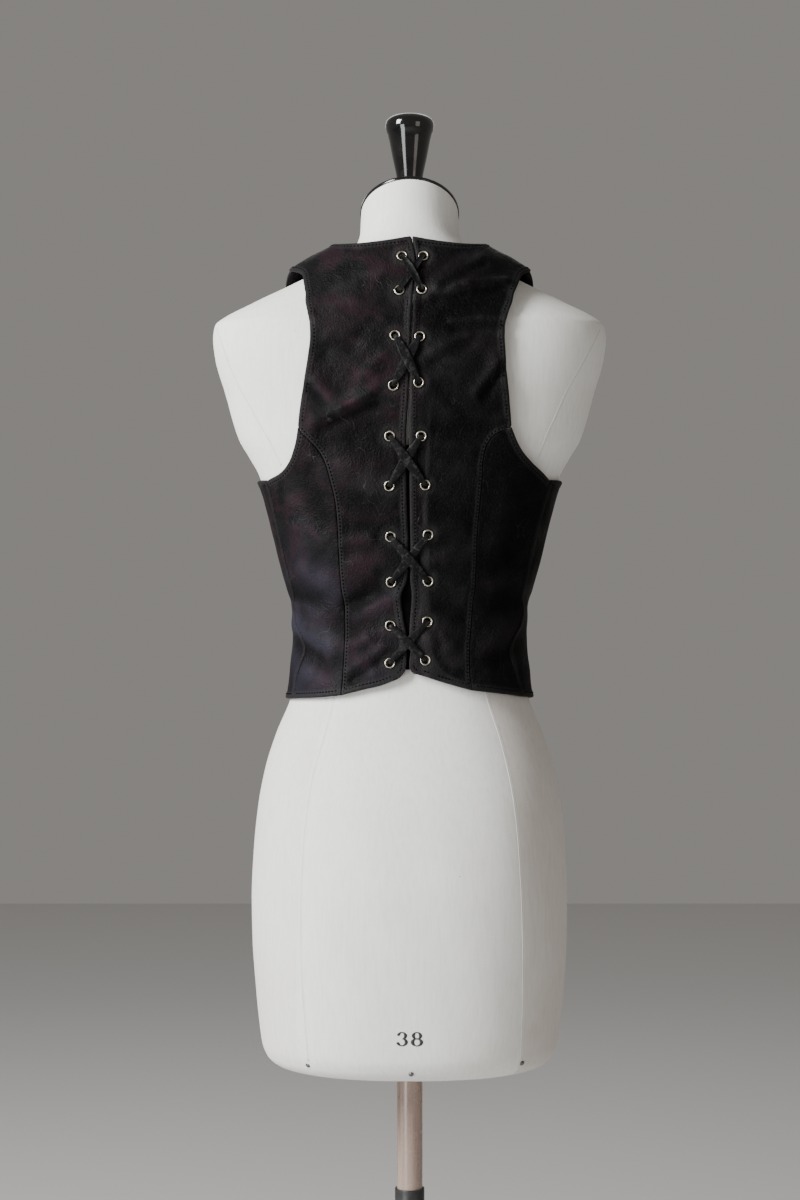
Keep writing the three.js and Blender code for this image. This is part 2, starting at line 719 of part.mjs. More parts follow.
// A closed stack of rings with a flat top and bottom.
function stackGeometry(rings) {
  const sides = rings[0].length;
  const centre = (ring) => ring.reduce((sum, p) => sum.add(p), new THREE.Vector3()).divideScalar(sides);
  const points = [...rings.flat(), centre(rings[0]), centre(rings.at(-1))];
  const [foot, head] = [points.length - 2, points.length - 1];
  const last = (rings.length - 1) * sides;
  const triangles = [];
  for (let i = 0; i < sides; i++) {
    const next = (i + 1) % sides;
    for (let k = 0; k < last; k += sides) {
      triangles.push([k + i, k + next, k + sides + next], [k + i, k + sides + next, k + sides + i]);
    }
    triangles.push([foot, next, i], [head, last + i, last + next]);
  }
  return body(points, triangles);
}

const socketHole = new THREE.CylinderGeometry(poleRadius + gap, poleRadius + gap, 120, 24);
socketHole.rotateX(90 * degrees);
socketHole.translate(0, 0, poleHead + gap - 60);
const torso = solidOf(stackGeometry(formRings.map((row) => formRing(row.z)))).subtract(solidOf(socketHole));
add("torso", geometryOf(torso), cotton);

// The plate follows the neck's slanted top.
const neckNormal = new THREE.Vector3(0, neckLean, 1).normalize();
const plateRings = [gap, gap + plateThickness].map((height) => (
  formRing(neckTop).map((p) => p.addScaledVector(neckNormal, height))
));
add("neck_plate", stackGeometry(plateRings), blackLacquer);

// The finial is turned, and its foot is cut to the plate's slant.
const finialProfile = table(["r", "z"], [
  [0, 1470], [21, 1470], [21, 1496], [19.5, 1500], [14.5, 1506], [12.5, 1516], [14, 1529], [18, 1548],
  [22.5, 1570], [25, 1578], [25.4, 1583], [23.5, 1588], [17, 1592], [8, 1593.6], [0, finialTop],
]);
const finialLathe = new THREE.LatheGeometry(finialProfile.map((p) => new THREE.Vector2(p.r, p.z)), 20);
finialLathe.rotateX(90 * degrees);
const under = new THREE.BoxGeometry(120, 120, 120);
const plateTop = neckNormal.clone().multiplyScalar(plateThickness + 2 * gap);
under.translate(0, 0, -60);
under.rotateX(-Math.atan(neckLean));
under.translate(plateTop.x, plateTop.y, plateTop.z + neckTop);
add("finial", geometryOf(solidOf(finialLathe).subtract(solidOf(under))), blackLacquer);

// Steel tacks at the lower edge of the back.
const tackProfile = table(["r", "h"], [[0, gap], [2.7, gap], [2.5, 1.3], [1.4, 2], [0, 2.2]]);
const tacks = table(["name", "side", "x", "z", "sink"], [
  ["left", -1, 103, 615, 0.7], ["centre", 1, 1, 611, 0], ["right", 1, 113, 616, 0.3],
]);
for (const tack of tacks) {
  const share = Math.min(1, tack.x / smooth(formRings, "half", tack.z));
  const angle = -Math.acos(share ** (smooth(formRings, "square", tack.z) / 2)) / degrees;
  const at = (a, h) => onRings(formRings, noBust, tack.side, a, h);
  const around = at(angle + 0.4, tack.z).sub(at(angle - 0.4, tack.z));
  const upward = at(angle, tack.z + 0.4).sub(at(angle, tack.z - 0.4));
  const normal = around.cross(upward).normalize().multiplyScalar(tack.side);
  const head = new THREE.LatheGeometry(tackProfile.map((p) => new THREE.Vector2(p.r, p.h)), 10);
  const seat = at(angle, tack.z).addScaledVector(normal, -tack.sink);
  stand(add("tack_" + tack.name, head, steel), seat, normal);
}

// ---- Stand ----

function turned(name, rows, sides, material) {
  const profile = rows.map(([r, z]) => new THREE.Vector2(r, z));
  const shape = new THREE.LatheGeometry(profile, sides);
  shape.rotateX(90 * degrees);
  add(name, shape, material);
}

turned("pole", [[0, poleFoot + gap], [poleRadius, poleFoot + gap], [poleRadius, poleHead], [0, poleHead]], 24, wood);
turned("sleeve", [
  [0, footHeight + gap],
  [sleeveRadius, footHeight + gap],
  [sleeveRadius, sleeveTop],
  [poleRadius + gap, sleeveTop],
  [poleRadius + gap, poleFoot],
  [0, poleFoot],
], 24, blackPaint);
turned("socket", [
  [sleeveRadius + gap, footHeight + gap],
  [socketRadius, footHeight + gap],
  [socketRadius - 3, footHeight + socketHeight - 6],
  [sleeveRadius + 6, footHeight + socketHeight],
  [sleeveRadius + gap, footHeight + socketHeight],
  [sleeveRadius + gap, footHeight + gap],
], 24, blackPaint);
turned("base", [
  [0, 0],
  [footRadius - 2, 0],
  [footRadius, 2],
  [footRadius, footHeight - 5],
  [footRadius - 6, footHeight],
  [0, footHeight],
], 40, blackPaint);

export default group;
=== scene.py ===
# A black suede vest that laces up its centre back, on a cloth-covered dress form with a wooden pole and a
# round iron foot. The laced back faces -Y, +Z is up and the origin is on the floor under the pole. Sizes
# are given in millimetres and become metres in solid(), which builds every mesh.
import bpy
import numpy as np
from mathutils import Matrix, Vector


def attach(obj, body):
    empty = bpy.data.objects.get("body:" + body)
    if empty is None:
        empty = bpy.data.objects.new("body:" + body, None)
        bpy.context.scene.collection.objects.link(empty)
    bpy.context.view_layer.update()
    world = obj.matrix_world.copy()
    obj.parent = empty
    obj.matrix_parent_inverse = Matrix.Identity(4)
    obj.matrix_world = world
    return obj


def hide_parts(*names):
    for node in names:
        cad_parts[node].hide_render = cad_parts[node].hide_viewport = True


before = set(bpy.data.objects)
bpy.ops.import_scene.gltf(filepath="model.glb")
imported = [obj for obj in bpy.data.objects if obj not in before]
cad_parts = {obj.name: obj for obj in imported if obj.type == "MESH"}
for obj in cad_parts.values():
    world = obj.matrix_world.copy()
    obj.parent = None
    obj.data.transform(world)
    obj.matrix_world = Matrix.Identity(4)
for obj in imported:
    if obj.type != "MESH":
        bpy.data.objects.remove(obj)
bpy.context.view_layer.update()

# ---- Camera ----
# It stands 2.5 m behind the vest's laced back, level with the waist.
camera = bpy.data.cameras.new("camera")
camera.lens = 71.4
camera.sensor_width = 36
camera_object = bpy.data.objects.new("camera", camera)
camera_object.location = (-0.0102, -2.5, 1.084)
camera_object.rotation_euler = (np.pi / 2, 0, 0)
bpy.context.collection.objects.link(camera_object)
bpy.context.scene.camera = camera_object

# ---- Studio ----
# A pale floor, a large soft box and a low window to the left, and weak boxes to the right and behind, so that
# the right side falls into shade.
floor_mesh = bpy.data.meshes.new("floor")
floor_mesh.from_pydata([(-6, -6, 0), (6, -6, 0), (6, 6, 0), (-6, 6, 0)], [], [(0, 1, 2, 3)])
floor = bpy.data.objects.new("floor", floor_mesh)
bpy.context.collection.objects.link(floor)
floor_paint = bpy.data.materials.new("floor_paint")
floor_paint.use_nodes = True
floor_shader = floor_paint.node_tree.nodes["Principled BSDF"]
floor_shader.inputs["Base Color"].default_value = (0.62, 0.61, 0.6, 1)
floor_shader.inputs["Roughness"].default_value = 0.75
floor_mesh.materials.append(floor_paint)


def soft_box(name, place, width, height, watts, tint):
    """A rectangular lamp that faces the vest's waist."""
    lamp = bpy.data.lights.new(name, "AREA")
    lamp.shape = "RECTANGLE"
    lamp.size, lamp.size_y = width, height
    lamp.energy = watts
    lamp.color = tint
    holder = bpy.data.objects.new(name, lamp)
    holder.location = place
    holder.rotation_euler = (Vector((0, 0, 1.08)) - Vector(place)).to_track_quat("-Z", "Y").to_euler()
    bpy.context.collection.objects.link(holder)


soft_box("key", (-2.15, -1.45, 2.35), 0.9, 1.7, 208, (0.97, 0.99, 1.0))
soft_box("low window", (-1.6, -2.15, 0.62), 0.9, 1.2, 24, (0.97, 0.99, 1.0))
soft_box("fill", (1.9, -2.4, 1.5), 1.1, 1.6, 9, (1.0, 0.93, 0.86))
soft_box("behind", (-0.2, 2.6, 2.6), 1.6, 1.2, 8, (1, 1, 1))
world = bpy.data.worlds.new("studio")
world.use_nodes = True
world.node_tree.nodes["Background"].inputs["Color"].default_value = (0.9, 0.86, 0.81, 1)
world.node_tree.nodes["Background"].inputs["Strength"].default_value = 0.27
bpy.context.scene.world = world

# ---- Foot, socket and sleeve ----
# A round plate of cast iron with a turned collar screwed on it, and a steel tube that takes the pole. All
# three are painted satin black, and the paint is rubbed a little in places.


def solid(name, points, faces, material, replaces, slot, creased=None, marks=None):
    """A closed mesh from points in millimetres, turned so that its faces point out. It rides on the body and
    replaces its solids; slot is not used. marks are values for each point that its material reads."""
    mesh = bpy.data.meshes.new(name)
    mesh.from_pydata([], [], [])
    points = np.asarray(points, float).reshape(-1, 3) * 0.001
    faces = np.asarray(faces)
    if faces.shape[1] == 3:
        faces = np.column_stack([faces, np.full(len(faces), -1)])
    a, b, c = (points[faces[:, i]] for i in range(3))
    d = np.where(faces[:, 3:] < 0, a, points[faces[:, 3]])
    if (np.cross(b, c) * a).sum() + (np.cross(c, d) * a).sum() < 0:
        faces = faces[:, ::-1]
    mesh.vertices.add(len(points))
    mesh.vertices.foreach_set("co", points.ravel())
    used = faces >= 0
    mesh.loops.add(int(used.sum()))
    mesh.loops.foreach_set("vertex_index", faces[used])
    mesh.polygons.add(len(faces))
    count = used.sum(axis=1)
    mesh.polygons.foreach_set("loop_start", np.concatenate([[0], np.cumsum(count)[:-1]]))
    mesh.polygons.foreach_set("loop_total", count)
    mesh.polygons.foreach_set("use_smooth", np.ones(len(faces), bool))
    mesh.update()
    mesh.validate()
    if creased:
        mesh.set_sharp_from_angle(angle=np.radians(creased))
    for label, values in (marks or {}).items():
        layer = mesh.attributes.new(label, "FLOAT", "POINT")
        layer.data.foreach_set("value", np.asarray(values, np.float32).ravel())
    mesh.materials.append(material)
    piece = bpy.data.objects.new(name, mesh)
    bpy.context.collection.objects.link(piece)
    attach(piece, "root")
    if replaces:
        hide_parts(*replaces)
    return piece


def lattice(rows, columns, closed):
    """The four-sided faces of a grid of points, row by row. closed joins each row's end to its start."""
    across = np.arange(columns if closed else columns - 1)
    a = (np.arange(rows - 1)[:, None] * columns + across).ravel()
    b = (np.arange(rows - 1)[:, None] * columns + (across + 1) % columns).ravel()
    return np.stack([a, b, b + columns, a + columns], 1)


def stacked(rings):
    """Points and faces of a stack of closed rings, from bottom to top. Each end is closed by a fan."""
    count, sides = rings.shape[:2]
    points = np.vstack([rings.reshape(-1, 3), rings[0].mean(axis=0), rings[-1].mean(axis=0)])
    ring = np.arange(sides)
    after = (ring + 1) % sides
    none = np.full(sides, -1)
    top = (count - 1) * sides
    foot = np.stack([np.full(sides, count * sides), after, ring, none], 1)
    head = np.stack([np.full(sides, count * sides + 1), top + ring, top + after, none], 1)
    return points, np.vstack([lattice(count, sides, True), foot, head])


def rounded(corners, radius):
    """A profile with each inner corner replaced by a short arc: a quadratic curve whose ends lie one radius
    from the corner."""
    corners = np.array(corners, float)
    before, at, after = corners[:-2], corners[1:-1], corners[2:]
    reach_in = np.minimum(radius, np.linalg.norm(before - at, axis=1) * 0.45)[:, None]
    reach_out = np.minimum(radius, np.linalg.norm(after - at, axis=1) * 0.45)[:, None]
    start = at + (before - at) / np.linalg.norm(before - at, axis=1)[:, None] * reach_in
    end = at + (after - at) / np.linalg.norm(after - at, axis=1)[:, None] * reach_out
    t = np.linspace(0, 1, 5)[None, :, None]
    arcs = (1 - t) ** 2 * start[:, None] + 2 * t * (1 - t) * at[:, None] + t ** 2 * end[:, None]
    return np.vstack([corners[:1], arcs.reshape(-1, 2), corners[-1:]])


def turned_on_lathe(profile, sides):
    """Rings at each radius and height of a profile, all round the pole's axis."""
    turn = np.linspace(0, 2 * np.pi, sides, endpoint=False)
    r, z = np.array(profile, float).T[..., None]
    r = np.maximum(r, 0.01)
    return np.stack(np.broadcast_arrays(r * np.cos(turn), r * np.sin(turn), z), -1)


def group(name, inputs, outputs):
    """An empty shader group with named number inputs and named outputs."""
    tree = bpy.data.node_groups.new(name, "ShaderNodeTree")
    for label, kind, value in inputs:
        socket = tree.interface.new_socket(label, in_out="INPUT", socket_type="NodeSocket" + kind)
        if value is not None:
            socket.default_value = value
    for label, kind in outputs:
        tree.interface.new_socket(label, in_out="OUTPUT", socket_type="NodeSocket" + kind)
    return tree, tree.nodes.new("NodeGroupInput"), tree.nodes.new("NodeGroupOutput")


def node(tree, kind, settings=None, **wires):
    """Adds a node. settings are its properties, and wires its inputs: numbers, colours or other outputs. A
    name that starts with i and a number stands for the input at that place."""
    made = tree.nodes.new("ShaderNode" + kind)
    for key, value in (settings or {}).items():
        setattr(made, key, value)
    for key, value in wires.items():
        place = int(key[1:]) if key[0] == "i" and key[1:].isdigit() else key.replace("_", " ")
        if isinstance(value, bpy.types.NodeSocket):
            tree.links.new(value, made.inputs[place])
        else:
            made.inputs[place].default_value = value
    return made


def maths(tree, operation, *values):
    """One step of arithmetic on numbers or outputs."""
    wires = {f"i{place}": value for place, value in enumerate(values)}
    return node(tree, "Math", {"operation": operation}, **wires).outputs["Value"]


def mark(tree, name):
    """The value that a piece's points carry under a name."""
    return node(tree, "Attribute", {"attribute_name": name}).outputs["Fac"]


def ramp(tree, factor, stops):
    """A colour ramp through stops of (position, colour)."""
    made = node(tree, "ValToRGB", Fac=factor)
    elements = made.color_ramp.elements
    while len(elements) < len(stops):
        elements.new(0.5)
    for element, (position, colour) in zip(elements, stops):
        element.position = position
        element.color = (*colour, 1) if len(colour) == 3 else colour
    return made.outputs["Color"]


def blend(tree, kind, factor, a, b):
    """Two colours mixed by a factor."""
    return node(tree, "Mix", {"data_type": "RGBA", "blend_type": kind}, i0=factor, i6=a, i7=b).outputs[2]


def between(tree, value, low, high, start=0.0, end=1.0):
    """A value taken from the range low to high into the range start to end, and kept inside it."""
    kind = {"interpolation_type": "SMOOTHSTEP"}
    return node(tree, "MapRange", kind, Value=value, i1=low, i2=high, i3=start, i4=end).outputs["Result"]


def finish(name, colour, roughness, height, strength, distance, **constants):
    """A material around one Principled shader. colour, roughness and height are called with the node tree and
    the object's coordinates, and constants go straight onto the shader's sockets."""
    material = bpy.data.materials.new(name)
    material.use_nodes = True
    tree = material.node_tree
    shader = tree.nodes["Principled BSDF"]
    where = node(tree, "TexCoord").outputs["Object"]
    tree.links.new(colour(tree, where), shader.inputs["Base Color"])
    tree.links.new(roughness(tree, where), shader.inputs["Roughness"])
    bump = node(tree, "Bump", Strength=strength, Distance=distance, Height=height(tree, where))
    tree.links.new(bump.outputs["Normal"], shader.inputs["Normal"])
    for key, value in constants.items():
        shader.inputs[key.replace("_", " ")].default_value = value
    return material


def noise(tree, where, scale, detail=3.0, stretch=(1, 1, 1), shift=(0, 0, 0), swirl=0.0):
    """Cloudy noise at a scale, on coordinates that are stretched first. swirl pulls the clouds into wisps."""
    placed = node(tree, "Mapping", Vector=where, Scale=stretch, Location=shift).outputs["Vector"]
    return node(tree, "TexNoise", Vector=placed, Scale=scale, Detail=detail, Distortion=swirl).outputs["Fac"]


def dappled(scale, stops, detail=3.0, swirl=0.0):
    """Colour from noise at a scale, through the stops of a ramp."""
    return lambda tree, where: ramp(tree, noise(tree, where, scale, detail, swirl=swirl), stops)


def varied(scale, low, high, detail=3.0, start=0.3):
    """Roughness from noise at a scale, between a low and a high value."""
    return lambda tree, where: between(tree, noise(tree, where, scale, detail), start, 0.7, low, high)


def grained(scale, detail=3.0, stretch=(1, 1, 1)):
    """Height from noise at a scale."""
    return lambda tree, where: noise(tree, where, scale, detail, stretch)


handling, handling_in, handling_out = group(
    "handling marks", [("Vector", "Vector", None), ("Fineness", "Float", 60.0)], [("Mask", "Float")],
)
where, fineness = handling_in.outputs["Vector"], handling_in.outputs["Fineness"]
rubbed = node(handling, "TexNoise", Vector=where, Scale=fineness, Detail=6.0, Roughness=0.65)
handling.links.new(between(handling, rubbed.outputs["Fac"], 0.45, 0.72), handling_out.inputs["Mask"])


def marked(tree, where, fineness):
    """The mask of handling marks at a fineness."""
    return node(tree, "Group", {"node_tree": handling}, Vector=where, Fineness=fineness).outputs["Mask"]


def handled(fineness, clean, worn):
    """Roughness from handling marks, between its values where the surface is clean and where it is worn."""
    return lambda tree, where: between(tree, marked(tree, where, fineness), 0, 1, clean, worn)


def painted(tree, where):
    """Black paint, greyer where it is rubbed."""
    return blend(tree, "MIX", marked(tree, where, 35.0), (0.012, 0.012, 0.013, 1), (0.03, 0.029, 0.028, 1))


satin_black = finish(
    "satin_black", painted, handled(80.0, 0.36, 0.6), grained(700.0, 2.0), 0.25, 0.0004,
    Specular_IOR_Level=0.5,
)
clearance = 0.3
foot_radius, foot_top = 190, 14
pole_radius, pole_foot, pole_head = 13.5, 300, 655
sleeve_radius, sleeve_top = 15.5, 467
foot_profile = rounded([
    (0, 0), (foot_radius - 2, 0), (foot_radius, 2), (foot_radius, 9), (foot_radius - 6, foot_top),
    (0, foot_top),
], 3)
foot = stacked(turned_on_lathe(foot_profile, 128))
solid("iron_foot", *foot, satin_black, ["base"], "black_paint", 40)


def looped(rings):
    """Points and faces of rings whose last one joins the first, like a collar."""
    count, sides = rings.shape[:2]
    return rings.reshape(-1, 3), lattice(count + 1, sides, True) % (count * sides)


collar_bore, collar_foot = sleeve_radius + clearance, foot_top + clearance
collar_profile = rounded([
    (collar_bore, 20), (collar_bore, collar_foot), (34, collar_foot), (33, 22), (30, 31), (23, 35),
    (21.5, 36), (collar_bore, 36), (collar_bore, 22),
], 2)[1:-1]
collar = looped(turned_on_lathe(collar_profile, 64))
solid("foot_collar", *collar, satin_black, ["socket"], "black_paint", 40)
sleeve_bore = pole_radius + clearance
sleeve_profile = rounded([
    (0, collar_foot), (sleeve_radius, collar_foot), (sleeve_radius, sleeve_top), (sleeve_bore, sleeve_top),
    (sleeve_bore, pole_foot), (0, pole_foot),
], 0.7)
sleeve = stacked(turned_on_lathe(sleeve_profile, 64))
solid("pole_sleeve", *sleeve, satin_black, ["sleeve"], "black_paint", 40)

# ---- Pole ----
# A turned rod of pale hardwood, sanded and varnished, that slides in the sleeve and ends inside the form. Its
# grain runs up the rod in long streaks, with a few short dark pores.


def wood_grain(tree, where):
    """Long streaks of darker growth rings, and finer pores between them."""
    streaks = noise(tree, where, 42.0, 5.0, (3.2, 3.2, 0.16))
    rings = ramp(tree, streaks, [
        (0.32, (0.27, 0.19, 0.155)), (0.5, (0.32, 0.235, 0.195)), (0.68, (0.22, 0.15, 0.12)),
    ])
    pores = noise(tree, where, 420.0, 2.0, (2.2, 2.2, 0.06))
    dark = between(tree, pores, 0.58, 0.72, 0, 0.35)
    return blend(tree, "MIX", dark, rings, (0.24, 0.14, 0.09, 1))


varnished_wood = finish(
    "varnished_wood", wood_grain, handled(40.0, 0.26, 0.42), grained(420.0, 2.0, (2.2, 2.2, 0.06)),
    0.18, 0.0003, Coat_Weight=0.35, Coat_Roughness=0.15,
)
pole_end = pole_foot + clearance
pole_profile = rounded([
    (0, pole_end), (pole_radius, pole_end), (pole_radius, pole_head), (0, pole_head),
], 1.2)
pole = stacked(turned_on_lathe(pole_profile, 64))
solid("varnished_pole", *pole, varnished_wood, ["pole"], "pole_wood", 40)

# ---- Dress form ----
# A padded torso without limbs or head, covered in off-white cotton. The cover is cut in gores that meet in
# flat felled seams down the back, front and sides and round the two arm plates, and its size is printed at
# the foot.


def columns(names, rows):
    """A table of numbers, one array for each named column."""
    return dict(zip(names.split(), np.array(rows, float).T))


def ring_table(rows):
    """Level rings of a body: height, half width, and depth to the back and to the front. A row may add how
    square its outline is, or else 2.3, and how far it rises for each millimetre towards the back."""
    return columns("z half back front square lean", [[*row, 2.3, 0][:6] for row in rows])


def smooth(table, column, z):
    """A column read at height z: a cubic through its points whose slope at each is the harmonic mean of the
    slopes beside it, or zero at a turn, so that it never swings past them."""
    heights, values = table["z"], table[column]
    slope = np.diff(values) / np.diff(heights)
    before, after = slope[:-1], slope[1:]
    turn = before * after <= 0
    middle = np.where(turn, 0, 2 * before * after / np.where(turn, 1, before + after))
    tangent = np.concatenate([slope[:1], middle, slope[-1:]])
    i = np.clip(np.searchsorted(heights, z) - 1, 0, len(heights) - 2)
    step = heights[i + 1] - heights[i]
    t = (z - heights[i]) / step
    return (values[i] * (1 + 2 * t) * (1 - t) ** 2 + values[i + 1] * t * t * (3 - 2 * t)
            + step * t * (1 - t) * ((1 - t) * tangent[i] - t * tangent[i + 1]))


def on_rings(rings, bust, side, angle, z):
    """Points of a body made of level rings. Each ring is a superellipse: x is the half width times a power of
    the cosine, and y the depth times that power of the sine. angle is -90 at the back, 0 at the side and 90
    at the front, side is -1 or 1, and the bust is a bell-shaped swelling of the front."""
    c, s = np.cos(np.radians(angle)), np.sin(np.radians(angle))
    power = 2 / smooth(rings, "square", z)
    depth = np.where(s < 0, smooth(rings, "back", z), smooth(rings, "front", z))
    x = side * smooth(rings, "half", z) * np.sign(c) * np.abs(c) ** power
    y = depth * np.sign(s) * np.abs(s) ** power
    across = (np.abs(x) - bust["apart"]) / bust["across"]
    along = (z - bust["height"]) / bust["along"]
    y = y + np.where(s > 0, bust["rise"] * s * np.exp(-across ** 2 - along ** 2), 0)
    return np.stack([x, y, z - smooth(rings, "lean", z) * y], -1)


def straight_out(rings, bust, side, angle, z):
    """The unit direction out of the rings' surface, from two short steps round it and up it."""
    around = on_rings(rings, bust, side, angle + 0.4, z) - on_rings(rings, bust, side, angle - 0.4, z)
    upward = on_rings(rings, bust, side, angle, z + 0.4) - on_rings(rings, bust, side, angle, z - 0.4)
    normal = np.cross(around, upward) * np.asarray(side)[..., None]
    return normal / np.linalg.norm(normal, axis=-1, keepdims=True)


def angle_at(rings, x, z):
    """The angle on a back at a distance x from its centre line. Past the centre x is negative."""
    share = np.minimum(1, np.abs(x) / smooth(rings, "half", z))
    return -np.degrees(np.arccos(np.sign(x) * share ** (smooth(rings, "square", z) / 2)))


def on_back(rings, x, z):
    """The side, angle and height of places on a back, x to the right of its centre line."""
    return np.where(x < 0, -1, 1), angle_at(rings, np.abs(x), z), z


form_foot, neck_top, neck_slant = 600, 1487, 0.53
form_rings = ring_table([
    [form_foot, 131, 107, 79], [603, 141, 116, 88], [611, 150, 125, 97], [624, 155, 131, 101],
    [645, 158, 134, 103], [676, 161, 137, 105], [732, 164.5, 140, 108], [777, 165, 140, 109],
    [826, 163, 135, 108], [871, 158.5, 127, 104], [909, 151, 116, 99], [946, 139, 103, 94],
    [981, 125, 92, 90], [1020, 117, 84, 88], [1062, 114, 80, 87], [1100, 120, 82, 90], [1140, 134.4, 86, 97],
    [1180, 147.8, 91, 105], [1214, 157.6, 95, 110], [1233, 168, 96.5, 111], [1252, 179, 97, 111],
    [1302, 194, 97, 104], [1333, 203, 94, 94], [1358, 206, 89, 83], [1371, 204, 85, 77], [1380, 193, 81, 73],
    [1393, 167, 76, 69], [1406, 140, 71, 65, 2.25, 0], [1419, 112, 67, 62, 2.2, 0.04],
    [1430, 88, 63, 60, 2.15, 0.12], [1441, 68, 60, 58, 2.1, 0.24], [1452, 56, 57, 57, 2.05, 0.36],
    [1466, 52, 55.5, 56, 2, 0.46], [neck_top, 51, 55, 55, 2, neck_slant],
])
form_bust = {"rise": 20, "apart": 78, "across": 44, "height": 1222, "along": 50}
cloth_levels = np.concatenate([
    np.arange(form_foot, 624, 1.5), np.arange(624, 1350, 5.5), np.arange(1350, neck_top, 2), [neck_top],
])
ring_places = 256
round_it = np.linspace(0, 360, ring_places, endpoint=False)
ring_side = np.where(round_it < 180, 1, -1)
ring_angle = np.where(round_it < 180, round_it - 90, 270 - round_it)


def level_ring(z, scale=1.0):
    """A whole ring of the form at a height, drawn in about the axis by a scale."""
    ring = on_rings(form_rings, form_bust, ring_side, ring_angle, np.full(ring_places, float(z)))
    tilt = smooth(form_rings, "lean", np.array([float(z)]))[0]
    return np.stack([ring[:, 0] * scale, ring[:, 1] * scale, z - tilt * ring[:, 1] * scale], -1)


def pole_hole(radius, z):
    """A round ring about the pole with the same places round it as the form's rings."""
    turn = np.radians(round_it)
    return np.stack([radius * np.sin(turn), -radius * np.cos(turn), np.full(ring_places, float(z))], -1)


def on_form(side, angle, z):
    """Places on the form, and the direction straight out of it."""
    side, angle, z = np.broadcast_arrays(side, angle, z)
    out = straight_out(form_rings, form_bust, side, angle, np.clip(z, form_foot + 1, neck_top - 1))
    return on_rings(form_rings, form_bust, side, angle, z), out


cloth_side, cloth_angle, cloth_z = np.broadcast_arrays(ring_side, ring_angle, cloth_levels[:, None])


def padded(points, out, z):
    """The cover's small waves over the padding: two crossed sine waves, faded out at the foot and at the
    neck, and only hollows under the vest."""
    waves = 0.3 * (np.sin(points[..., 0] / 23 + 1.3 * np.sin(z / 61)) * np.sin(z / 47 + 0.6)
                   + 0.6 * np.sin(points[..., 0] / 11 + z / 35))
    waves *= np.clip((z - 604) / 30, 0, 1) * np.clip((1440 - z) / 60, 0, 1)
    waves = np.where((z > 985) & (z < 1330), np.minimum(waves, 0), waves)
    return points + out * waves[..., None]


# The gores at the sides are tinted greyer, about three times as strongly on the right as on the left: partly a
# greyer cloth, partly painted shade on the right, which turns from the light.
gore_edge = columns("z x", [
    [621, 112.4], [674, 114], [723, 114], [790, 112], [856, 108], [901, 102], [944, 92], [989, 78],
    [1040, 72],
])
gore_level = np.clip(cloth_levels, *gore_edge["z"][[0, -1]])
gore_angle = angle_at(form_rings, np.interp(gore_level, gore_edge["z"], gore_edge["x"]), gore_level)[:, None]
gore = np.clip((cloth_angle - gore_angle) / 1.4 + 0.5, 0, 1) * (cloth_angle < 40) * (cloth_z < 1040)
gore *= np.where(cloth_side < 0, 0.35, 1)


def cotton_colour(tree, where):
    """Off-white cloth with slubs down its warp, faint yellow stains, and a few small dark specks."""
    slubs = noise(tree, where, 260.0, 4.0, (1.2, 1.2, 0.14))
    warp = ramp(tree, slubs, [
        (0.3, (0.74, 0.73, 0.69)), (0.5, (0.78, 0.772, 0.74)), (0.7, (0.805, 0.8, 0.77)),
    ])
    age = between(tree, noise(tree, where, 9.0, 4.0), 0.48, 0.75, 0, 0.35)
    aged = blend(tree, "MULTIPLY", age, warp, (0.9, 0.86, 0.78, 1))
    cells = node(tree, "TexVoronoi", {"feature": "F1"}, Vector=where, Scale=38.0, Randomness=1.0)
    specks = between(tree, cells.outputs["Distance"], 0.02, 0.045, 0.5, 0)
    rare = between(tree, noise(tree, where, 14.0, 1.0, shift=(3, 1, 5)), 0.5, 0.56, 0, 1)
    specked = blend(tree, "MIX", maths(tree, "MULTIPLY", specks, rare), aged, (0.2, 0.15, 0.1, 1))
    # The side gores' grey tint is partly painted shade, strongest on the right.
    grey_and_shaded_gores = blend(tree, "MULTIPLY", mark(tree, "gore_tint_and_shade"), specked, (0.83, 0.79, 0.77, 1))
    return blend(tree, "MIX", mark(tree, "stitched"), grey_and_shaded_gores, (0.25, 0.23, 0.2, 1))


weave, weave_in, weave_out = group(
    "plain weave", [("Vector", "Vector", None), ("Threads per metre", "Float", 900.0)], [("Height", "Float")],
)
where, threads = weave_in.outputs["Vector"], weave_in.outputs["Threads per metre"]
warp_threads = noise(weave, where, threads, 1.0, (1, 1, 0.1))
weft_threads = noise(weave, where, threads, 1.0, (0.15, 0.15, 1))
weave.links.new(maths(weave, "MAXIMUM", warp_threads, weft_threads), weave_out.inputs["Height"])


def woven(tree, where):
    """The height of a plain weave with 11 threads to the centimetre."""
    return node(tree, "Group", {"node_tree": weave}, Vector=where, Threads_per_metre=1100.0).outputs["Height"]


cotton_cover = finish(
    "cotton_cover", cotton_colour, varied(60.0, 0.82, 0.95), woven, 0.35, 0.0005,
    Sheen_Weight=0.08, Specular_IOR_Level=0.3,
)
pole_bore = pole_radius + clearance
underside = [
    pole_hole(pole_bore, pole_head + clearance), pole_hole(pole_bore, form_foot + 1),
    pole_hole(pole_bore + 1, form_foot), level_ring(form_foot, 0.5), level_ring(form_foot, 0.97),
]
cloth_points = padded(*on_form(cloth_side, cloth_angle, cloth_z), cloth_z)
form_stack = stacked(np.concatenate([underside, cloth_points, [level_ring(neck_top, 0.6)]]))
gore_marks = {"gore_tint_and_shade": np.pad(gore.ravel(), (len(underside) * ring_places, ring_places + 2))}
solid("form_cover", *form_stack, cotton_cover, ["torso"], "form_cloth", 50, marks=gore_marks)


